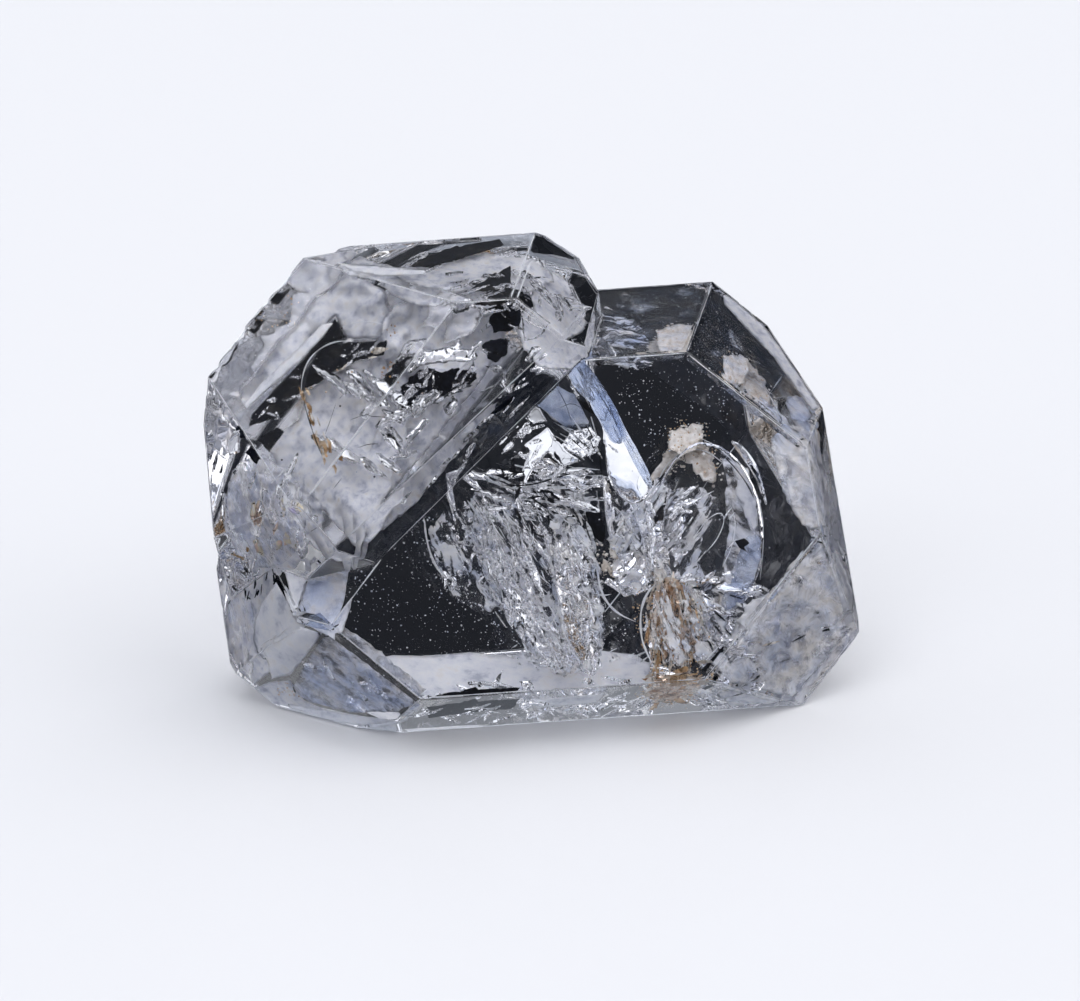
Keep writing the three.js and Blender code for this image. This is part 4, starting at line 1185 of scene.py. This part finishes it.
# painted reflection: a pale film on the base stands in for the bright top reflected in the base, and shows as the light
# strip along the lower edge
STRIP = [(374, 660), (392, 655), (430, 656), (470, 652), (505, 655), (540, 651), (570, 654), (600, 650), (636, 655), (650, 664), (650, 684), (590, 690), (520, 694), (470, 697), (428, 701), (400, 682)]
S(film, FRONT, STRIP, 7.0, gu=0.0, gv=-0.0585, thick=0.03, step=3.6, ripple=0.06, scale=14, rough=1.2, seed=194, soft=0)
# the top of the smaller crystal
S(film, LT, [(338, 263), (380, 266), (428, 270), (424, 275), (380, 276), (352, 271)], 0.6, thick=0.02, step=2.4, ripple=0.02, scale=12, rough=0.6, seed=201, soft=0)
S(veil, LT, [(388, 270), (450, 256), (530, 250), (540, 268), (510, 286), (450, 292), (410, 284)], 2.2, thick=0.02, step=3.2, ripple=0.20, scale=14, rough=2.0, seed=202, soft=0)
S(dark, LT, [(400, 267), (450, 248), (500, 239), (505, 245), (470, 256), (430, 267)], 1.4, thick=0.02, step=2.4, ripple=0.06, scale=8, rough=1.4, seed=203, soft=0)
S(dark, LT, [(470, 290), (490, 276), (510, 266), (512, 284), (496, 292)], 1.2, thick=0.02, step=2.2, ripple=0.08, scale=6, rough=1.8, seed=204, soft=0)
shards(body, LT, 16, [(390, 262), (520, 244), (535, 262), (500, 290), (420, 286)], (0.6, 2.2), -12, (10, 26), (1.2, 3.4), 205, steep=(0.02, 0.07), bright=0.4, crumple=0.02, spread=0.14)
S(veil, LE, [(538, 266), (560, 272), (584, 300), (588, 326), (562, 342), (540, 326), (530, 300)], 2.4, thick=0.02, step=3.0, ripple=0.22, scale=10, rough=2.0, seed=206, soft=0)
shards(body, LE, 14, [(536, 262), (566, 272), (588, 306), (584, 330), (556, 340), (534, 320)], (0.6, 2.2), 50, (6, 16), (1.4, 3.6), 207, steep=(0.03, 0.08), bright=0.4, crumple=0.03, spread=0.3)
# haze at the right end
S(veil, RF1, [(784, 434), (812, 428), (836, 496), (812, 534), (788, 496)], 2.4, thick=0.03, step=3.2, ripple=0.30, scale=14, rough=2.0, seed=208, soft=0)
S(film, RF1, [(790, 464), (802, 460), (814, 474), (817, 500), (814, 522), (804, 524), (796, 506), (788, 488)], 2.0, thick=0.02, step=2.4, ripple=0.10, scale=9, rough=3.0, seed=209, soft=1)
S(cloud, RF1, [(768, 438), (784, 431), (812, 428), (826, 466), (824, 528), (806, 530), (790, 506), (778, 478)], 1.2, thick=0.02, step=2.6, ripple=0.10, scale=9, rough=1.6, seed=228, soft=1)
S(mist, BRIGHT_R, face_outline(BRIGHT_R, 5), 0.8, thick=0.02, step=3.6, ripple=0.1, scale=14, rough=0.6, seed=229, soft=0)
S(mist, TOP, face_outline(TOP, 5), 0.8, thick=0.02, step=4.0, ripple=0.1, scale=14, rough=0.6, seed=230, soft=0)
S(veil, BRIGHT_R, [(722, 292), (734, 298), (764, 326), (790, 358), (812, 392), (820, 408), (812, 410), (796, 388), (772, 356), (744, 326), (724, 304)], 0.5, thick=0.02, step=2.6, ripple=0.04, scale=9, rough=1.6, seed=210, soft=0)
S(veil, BRIGHT_R, [(784, 398), (800, 394), (812, 412), (806, 424), (790, 418)], 1.4, thick=0.02, step=2.6, ripple=0.08, scale=9, rough=1.6, seed=212, soft=1)
S(strands[26], TOP, [(594, 300), (616, 310), (640, 326), (652, 346), (636, 350), (600, 344)], 1.6, thick=0.02, step=2.8, ripple=0.2, scale=9, rough=2.0, seed=211, soft=1)
print("body", body.count(), "white", white.count(), "veil", veil.count(), "film", film.count(), "haze", haze.count(),"pins", pins.count(), "clay", clay.count(), "crust", crust.count(), "dark", dark.count(), "rainbow", rainbow.count())


# ------------------------------------------------------------------ materials
def material(name):
    m = bpy.data.materials.new(name)
    m.use_nodes = True
    nt = m.node_tree
    return m, nt, nt.nodes["Principled BSDF"]


def node(nt, kind, **kw):
    n = nt.nodes.new(kind)
    for k, v in kw.items():
        setattr(n, k, v)
    return n


def noise_tex(nt, scale, detail=4.0, rough=0.55, coord="Object"):
    tc = node(nt, "ShaderNodeTexCoord")
    t = node(nt, "ShaderNodeTexNoise")
    t.inputs["Scale"].default_value = scale
    t.inputs["Detail"].default_value = detail
    t.inputs["Roughness"].default_value = rough
    nt.links.new(tc.outputs[coord], t.inputs["Vector"])
    return t


def ramp(nt, src_socket, stops):
    r = node(nt, "ShaderNodeValToRGB")
    cr = r.color_ramp
    while len(cr.elements) < len(stops):
        cr.elements.new(0.5)
    for e, (pos, col) in zip(cr.elements, stops):
        e.position = pos
        e.color = (*col, 1)
    nt.links.new(src_socket, r.inputs["Fac"])
    return r


def quartz_material():
    m, nt, b = material("quartz_clear")
    b.inputs["Base Color"].default_value = (0.985, 0.985, 1.0, 1)
    b.inputs["IOR"].default_value = IOR
    b.inputs["Transmission Weight"].default_value = 1.0
    # growth haze: faintly frosted patches
    hz = noise_tex(nt, 420.0, 5.0, 0.6)
    mr = node(nt, "ShaderNodeMapRange")
    mr.inputs["From Min"].default_value = 0.50
    mr.inputs["From Max"].default_value = 0.78
    mr.inputs["To Min"].default_value = 0.0
    mr.inputs["To Max"].default_value = 0.05
    nt.links.new(hz.outputs["Fac"], mr.inputs["Value"])
    rough = mr.outputs["Result"]
    # the two front faces of the smaller crystal are etched a little
    tc = node(nt, "ShaderNodeTexCoord")
    for (n, d), amount in ((LR, 0.10), (LM, 0.07)):
        dot = node(nt, "ShaderNodeVectorMath", operation="DOT_PRODUCT")
        dot.inputs[1].default_value = n
        nt.links.new(tc.outputs["Object"], dot.inputs[0])
        off = node(nt, "ShaderNodeMath", operation="COMPARE")
        off.inputs[1].default_value = d / 1000
        off.inputs[2].default_value = 0.00006
        nt.links.new(dot.outputs["Value"], off.inputs[0])
        mad = node(nt, "ShaderNodeMath", operation="MULTIPLY_ADD")
        mad.inputs[1].default_value = amount
        nt.links.new(off.outputs[0], mad.inputs[0])
        nt.links.new(rough, mad.inputs[2])
        rough = mad.outputs[0]
    nt.links.new(rough, b.inputs["Roughness"])
    # fine growth marks
    fine = noise_tex(nt, 1500.0, 3.0, 0.5)
    bump = node(nt, "ShaderNodeBump")
    bump.inputs["Strength"].default_value = 0.012
    bump.inputs["Distance"].default_value = 0.00003
    nt.links.new(fine.outputs["Fac"], bump.inputs["Height"])
    nt.links.new(bump.outputs["Normal"], b.inputs["Normal"])
    return m


def mineral(name, stops, scale, rough, transmission=0.0, ior=1.5, detail=6.0, bump=0.3):
    """Noise-coloured mineral matter with a grainy surface."""
    m, nt, b = material(name)
    t = noise_tex(nt, scale, detail, 0.62)
    r = ramp(nt, t.outputs["Fac"], stops)
    nt.links.new(r.outputs["Color"], b.inputs["Base Color"])
    mr = node(nt, "ShaderNodeMapRange")
    mr.inputs["From Min"].default_value = 0.3
    mr.inputs["From Max"].default_value = 0.7
    mr.inputs["To Min"].default_value = rough[0]
    mr.inputs["To Max"].default_value = rough[1]
    nt.links.new(t.outputs["Fac"], mr.inputs["Value"])
    nt.links.new(mr.outputs["Result"], b.inputs["Roughness"])
    b.inputs["IOR"].default_value = ior
    b.inputs["Transmission Weight"].default_value = transmission
    g = noise_tex(nt, scale * 4, 4.0, 0.6)
    bp = node(nt, "ShaderNodeBump")
    bp.inputs["Strength"].default_value = bump
    bp.inputs["Distance"].default_value = 0.00004
    nt.links.new(g.outputs["Fac"], bp.inputs["Height"])
    nt.links.new(bp.outputs["Normal"], b.inputs["Normal"])
    return m


def strand_material(name, angle, stops, scale=2300.0, stretch=6.0, gap=(0.495, 0.575)):
    """Strands along one direction with clear quartz between them."""
    m, nt, b = material(name)
    a = math.radians(angle)
    along = RIGHT * math.cos(a) - UP * math.sin(a)
    across = RIGHT * math.sin(a) + UP * math.cos(a)
    tc = node(nt, "ShaderNodeTexCoord")
    comb = node(nt, "ShaderNodeCombineXYZ")
    for axis, d in (("X", along / stretch), ("Y", across), ("Z", INTO)):
        dot = node(nt, "ShaderNodeVectorMath", operation="DOT_PRODUCT")
        dot.inputs[1].default_value = d
        nt.links.new(tc.outputs["Object"], dot.inputs[0])
        nt.links.new(dot.outputs["Value"], comb.inputs[axis])
    t = node(nt, "ShaderNodeTexNoise")
    t.inputs["Scale"].default_value = scale
    t.inputs["Detail"].default_value = 5.0
    t.inputs["Roughness"].default_value = 0.62
    t.inputs["Distortion"].default_value = 0.6
    nt.links.new(comb.outputs[0], t.inputs["Vector"])
    mr = node(nt, "ShaderNodeMapRange", interpolation_type="SMOOTHSTEP")
    for key, val in (("From Min", gap[0]), ("From Max", gap[1]), ("To Min", 0.98), ("To Max", 0.03)):
        mr.inputs[key].default_value = val
    nt.links.new(t.outputs["Fac"], mr.inputs["Value"])
    nt.links.new(mr.outputs["Result"], b.inputs["Transmission Weight"])
    c = noise_tex(nt, 1100.0, 6.0, 0.6)
    r = ramp(nt, c.outputs["Fac"], stops)
    nt.links.new(r.outputs["Color"], b.inputs["Base Color"])
    b.inputs["IOR"].default_value = 1.02
    b.inputs["Roughness"].default_value = 0.12
    return m


quartz = quartz_material()
quartz_obj = body.object("quartz_body", quartz)
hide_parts(NODE)

white.object("healed_feathers", mineral("feather_white", [(0.30, (0.80, 0.83, 0.90)), (0.50, (0.95, 0.96, 0.99)), (0.72, (0.99, 0.98, 0.96))], 900, (0.25, 0.5), transmission=0.15, ior=1.05))
for angle, where in strands.items():
    where.object("healed_cracks_%d" % (angle % 360), strand_material("strands_%d" % (angle % 360), angle, [(0.32, (0.78, 0.82, 0.92)), (0.50, (0.98, 0.98, 1.0)), (0.70, (0.98, 0.95, 0.91))]))
rust.object("stained_crack", strand_material("strands_rust", 86, [(0.34, (0.36, 0.22, 0.13)), (0.45, (0.68, 0.50, 0.36)), (0.54, (0.90, 0.80, 0.70)), (0.64, (0.98, 0.95, 0.92))], 2900.0, 4.0, (0.465, 0.55)))
cloud.object("soft_clouds", strand_material("veil_cloud", 40, [(0.34, (0.74, 0.78, 0.88)), (0.50, (0.97, 0.97, 1.0)), (0.66, (0.97, 0.93, 0.88))], 1500.0, 1.6, (0.36, 0.62)))
mist.object("faint_clouds", strand_material("veil_mist", 20, [(0.34, (0.66, 0.72, 0.86)), (0.50, (0.90, 0.93, 1.0)), (0.66, (0.95, 0.93, 0.92))], 900.0, 1.3, (0.54, 1.0)))
veil.object("milky_veils", mineral("veil_milky", [(0.32, (0.52, 0.54, 0.62)), (0.43, (0.80, 0.81, 0.88)), (0.52, (0.97, 0.97, 1.0)), (0.60, (1.0, 0.99, 1.0)), (0.70, (0.88, 0.84, 0.80))], 2300, (0.35, 0.6), transmission=0.35, ior=1.03, detail=8.0, bump=0.2))
film.object("pale_films", mineral("film_pale", [(0.32, (0.55, 0.57, 0.65)), (0.44, (0.88, 0.89, 0.94)), (0.56, (0.98, 0.98, 1.0)), (0.70, (0.93, 0.90, 0.87))], 1100, (0.4, 0.6), ior=1.05, detail=9.0, bump=0.15))
haze.object("blue_grey_haze", mineral("haze_blue_grey", [(0.34, (0.42, 0.49, 0.64)), (0.50, (0.70, 0.76, 0.89)), (0.66, (0.90, 0.93, 0.98))], 1200, (0.06, 0.2), transmission=0.86, ior=1.02, detail=8.0, bump=0.1))
pins.object("pinpoint_inclusions",mineral("pinpoint_white", [(0.35, (0.62, 0.68, 0.80)), (0.5, (0.88, 0.90, 0.95)), (0.7, (0.95, 0.93, 0.90))], 500, (0.2, 0.5)))
clay.object("clay_and_iron", mineral("clay_brown", [(0.30, (0.20, 0.10, 0.045)), (0.42, (0.54, 0.32, 0.15)), (0.54, (0.78, 0.56, 0.35)), (0.70, (0.90, 0.77, 0.60))], 1500, (0.55, 0.85), ior=1.1, bump=0.6))
crust.object("beige_crust", mineral("crust_beige", [(0.30, (0.48, 0.39, 0.31)), (0.44, (0.78, 0.70, 0.61)), (0.58, (0.92, 0.87, 0.81)), (0.75, (0.97, 0.95, 0.91))], 1300, (0.6, 0.9), ior=1.1, bump=0.6))
dark.object("dark_fillings", mineral("hydrocarbon_black", [(0.35, (0.003, 0.004, 0.008)), (0.55, (0.008, 0.009, 0.014)), (0.72, (0.03, 0.028, 0.026))], 800, (0.4, 0.7), ior=1.04))
rainbow.object("iridescent_film", mineral("film_iridescent", [(0.30, (0.70, 0.64, 0.95)), (0.42, (0.94, 0.92, 1.0)), (0.50, (1.0, 0.90, 0.68)), (0.57, (1.0, 0.76, 0.64)), (0.64, (0.96, 0.95, 1.0)), (0.74, (0.62, 0.70, 1.0))], 900, (0.1, 0.3), transmission=0.25, ior=1.05))


# ---------------------------------------------------------------------- stage
def stage_plane(name, size, z, colour, rough):
    s = size / 2
    me = bpy.data.meshes.new(name)
    me.from_pydata([(-s, -s, z), (s, -s, z), (s, s, z), (-s, s, z)], [], [(0, 1, 2, 3)])
    ob = bpy.data.objects.new(name, me)
    scene.collection.objects.link(ob)
    m, nt, b = material(name)
    b.inputs["Base Color"].default_value = (*colour, 1)
    b.inputs["Roughness"].default_value = rough
    me.materials.append(m)
    return ob, b


floor, _ = stage_plane("floor", 3.0, -0.0001, (0.62, 0.62, 0.63), 0.6)
floor.visible_transmission = False
floor.visible_glossy = False
floor.visible_shadow = False
under, ub = stage_plane("dark_table", 3.0, -0.0004, (0.006, 0.008, 0.014), 0.5)
under.visible_camera = False
under.visible_diffuse = False
under.visible_shadow = False
# painted glow: an emission on the hidden table under the stone stands in for light that the stone throws there, fading
# outwards
unt = under.data.materials[0].node_tree
utc = node(unt, "ShaderNodeTexCoord")
ub.inputs["Specular IOR Level"].default_value = 0.0
uscale = node(unt, "ShaderNodeVectorMath", operation="MULTIPLY_ADD")
uscale.inputs[1].default_value = (1 / 0.0155, 1 / 0.0048, 0.0)
uscale.inputs[2].default_value = (0.0, 2.9 / 4.8, 0.0)
unt.links.new(utc.outputs["Object"], uscale.inputs[0])
ulen = node(unt, "ShaderNodeVectorMath", operation="LENGTH")
unt.links.new(uscale.outputs[0], ulen.inputs[0])
ufade = node(unt, "ShaderNodeMapRange", interpolation_type="SMOOTHSTEP")
for key, val in (("From Min", 0.7), ("From Max", 1.12), ("To Min", 0.58), ("To Max", 0.003)):
    ufade.inputs[key].default_value = val
unt.links.new(ulen.outputs["Value"], ufade.inputs["Value"])
ub.inputs["Emission Color"].default_value = (0.80, 0.87, 1.0, 1)
unt.links.new(ufade.outputs["Result"], ub.inputs["Emission Strength"])


def direction(az, el):
    a, e = math.radians(az), math.radians(el)
    return Vector((math.sin(a) * math.cos(e), math.cos(a) * math.cos(e), math.sin(e)))


def softbox(name, az, el, dist, w, h, radiance, colour=(1, 1, 1)):
    ld = bpy.data.lights.new(name, "AREA")
    ld.shape = "RECTANGLE"
    ld.size, ld.size_y = w, h
    ld.energy = radiance * math.pi * w * h
    ld.color = colour
    ob = bpy.data.objects.new(name, ld)
    scene.collection.objects.link(ob)
    c = Vector((0, 0, 0.009))
    ob.location = c + direction(az, el) * dist
    ob.rotation_euler = (c - ob.location).to_track_quat("-Z", "Y").to_euler()
    ob.visible_camera = False
    return ob


# lights the floor only
fill = softbox("floor_light", 180, 72, 0.90, 1.2, 1.0, 0.10)
fill.visible_transmission = False
fill.visible_glossy = False

# a light tent around the stone: bright above, in front and at the sides, dark
# behind and low down
world = bpy.data.worlds.new("studio")
scene.world = world
world.use_nodes = True
world.cycles.sampling_method = "NONE"
wn = world.node_tree
bg = wn.nodes["Background"]
bg.inputs["Strength"].default_value = 1.0
wtc = node(wn, "ShaderNodeTexCoord")
wsum = None
TENT = (0.59, 0.61, 0.68)


def lobe_socket(az, el, deg0, deg1, low_value, high_value):
    """Goes from one value to the other towards a direction of the tent."""
    dot = node(wn, "ShaderNodeVectorMath", operation="DOT_PRODUCT")
    dot.inputs[1].default_value = direction(az, el)
    wn.links.new(wtc.outputs["Generated"], dot.inputs[0])
    n = node(wn, "ShaderNodeMapRange", interpolation_type="SMOOTHSTEP")
    lo_c, hi_c = math.cos(math.radians(deg0)), math.cos(math.radians(deg1))
    for key, val in (("From Min", lo_c), ("From Max", hi_c), ("To Min", low_value), ("To Max", high_value)):
        n.inputs[key].default_value = val
    wn.links.new(dot.outputs["Value"], n.inputs["Value"])
    return n.outputs["Result"]


for az, el, deg0, deg1, amount, tint in (
    (178, 64, 48, 12, 2.00, (0.95, 0.97, 1.0)),
    (95, 34, 60, 15, 0.95, (1.0, 0.97, 0.94)),
    (-95, 34, 60, 15, 0.95, (0.94, 0.96, 1.0)),
    (50, 12, 30, 8, 0.30, (0.88, 0.94, 1.0)),
    (0, 40, 38, 10, 0.52, (0.92, 0.96, 1.0)),
):
    tinted = node(wn, "ShaderNodeVectorMath", operation="SCALE")
    tinted.inputs[0].default_value = tint
    wn.links.new(lobe_socket(az, el, deg0, deg1, 0.0, amount), tinted.inputs["Scale"])
    add = node(wn, "ShaderNodeVectorMath", operation="ADD")
    if wsum is None:
        add.inputs[0].default_value = TENT
    else:
        wn.links.new(wsum, add.inputs[0])
    wn.links.new(tinted.outputs[0], add.inputs[1])
    wsum = add.outputs[0]
# openings: the back, low down behind on the right, and around the camera
for az, el, deg0, deg1, left in (
    (0, -7, 28, 14, 0.0),
    (27, 7, 17, 9, 0.06),
    (-2, 22, 13, 5, 0.14),
    (163, 14, 50, 5, 0.17),
    (-98, 49, 22, 11, 0.14),
):
    cut = node(wn, "ShaderNodeVectorMath", operation="SCALE")
    wn.links.new(wsum, cut.inputs[0])
    wn.links.new(lobe_socket(az, el, deg0, deg1, 1.0, left), cut.inputs["Scale"])
    wsum = cut.outputs[0]
low = node(wn, "ShaderNodeVectorMath", operation="MAXIMUM")
low.inputs[1].default_value = (0.007, 0.008, 0.011)
wn.links.new(wsum, low.inputs[0])
wpath = node(wn, "ShaderNodeLightPath")
wmix = node(wn, "ShaderNodeMix", data_type="RGBA")
wmix_ins = {s.identifier: s for s in wmix.inputs}
wmix_ins["B_Color"].default_value = (0.50, 0.50, 0.51, 1)
wn.links.new(wpath.outputs["Is Camera Ray"], wmix_ins["Factor_Float"])
wn.links.new(low.outputs[0], wmix_ins["A_Color"])
wn.links.new([s for s in wmix.outputs if s.identifier == "Result_Color"][0], bg.inputs["Color"])

scene.cycles.max_bounces = 22
scene.cycles.transmission_bounces = 20
scene.cycles.glossy_bounces = 10
scene.cycles.diffuse_bounces = 3
scene.cycles.transparent_max_bounces = 16
scene.cycles.caustics_reflective = True
scene.cycles.caustics_refractive = True
scene.cycles.blur_glossy = 0.0
scene.view_settings.view_transform = "Standard"
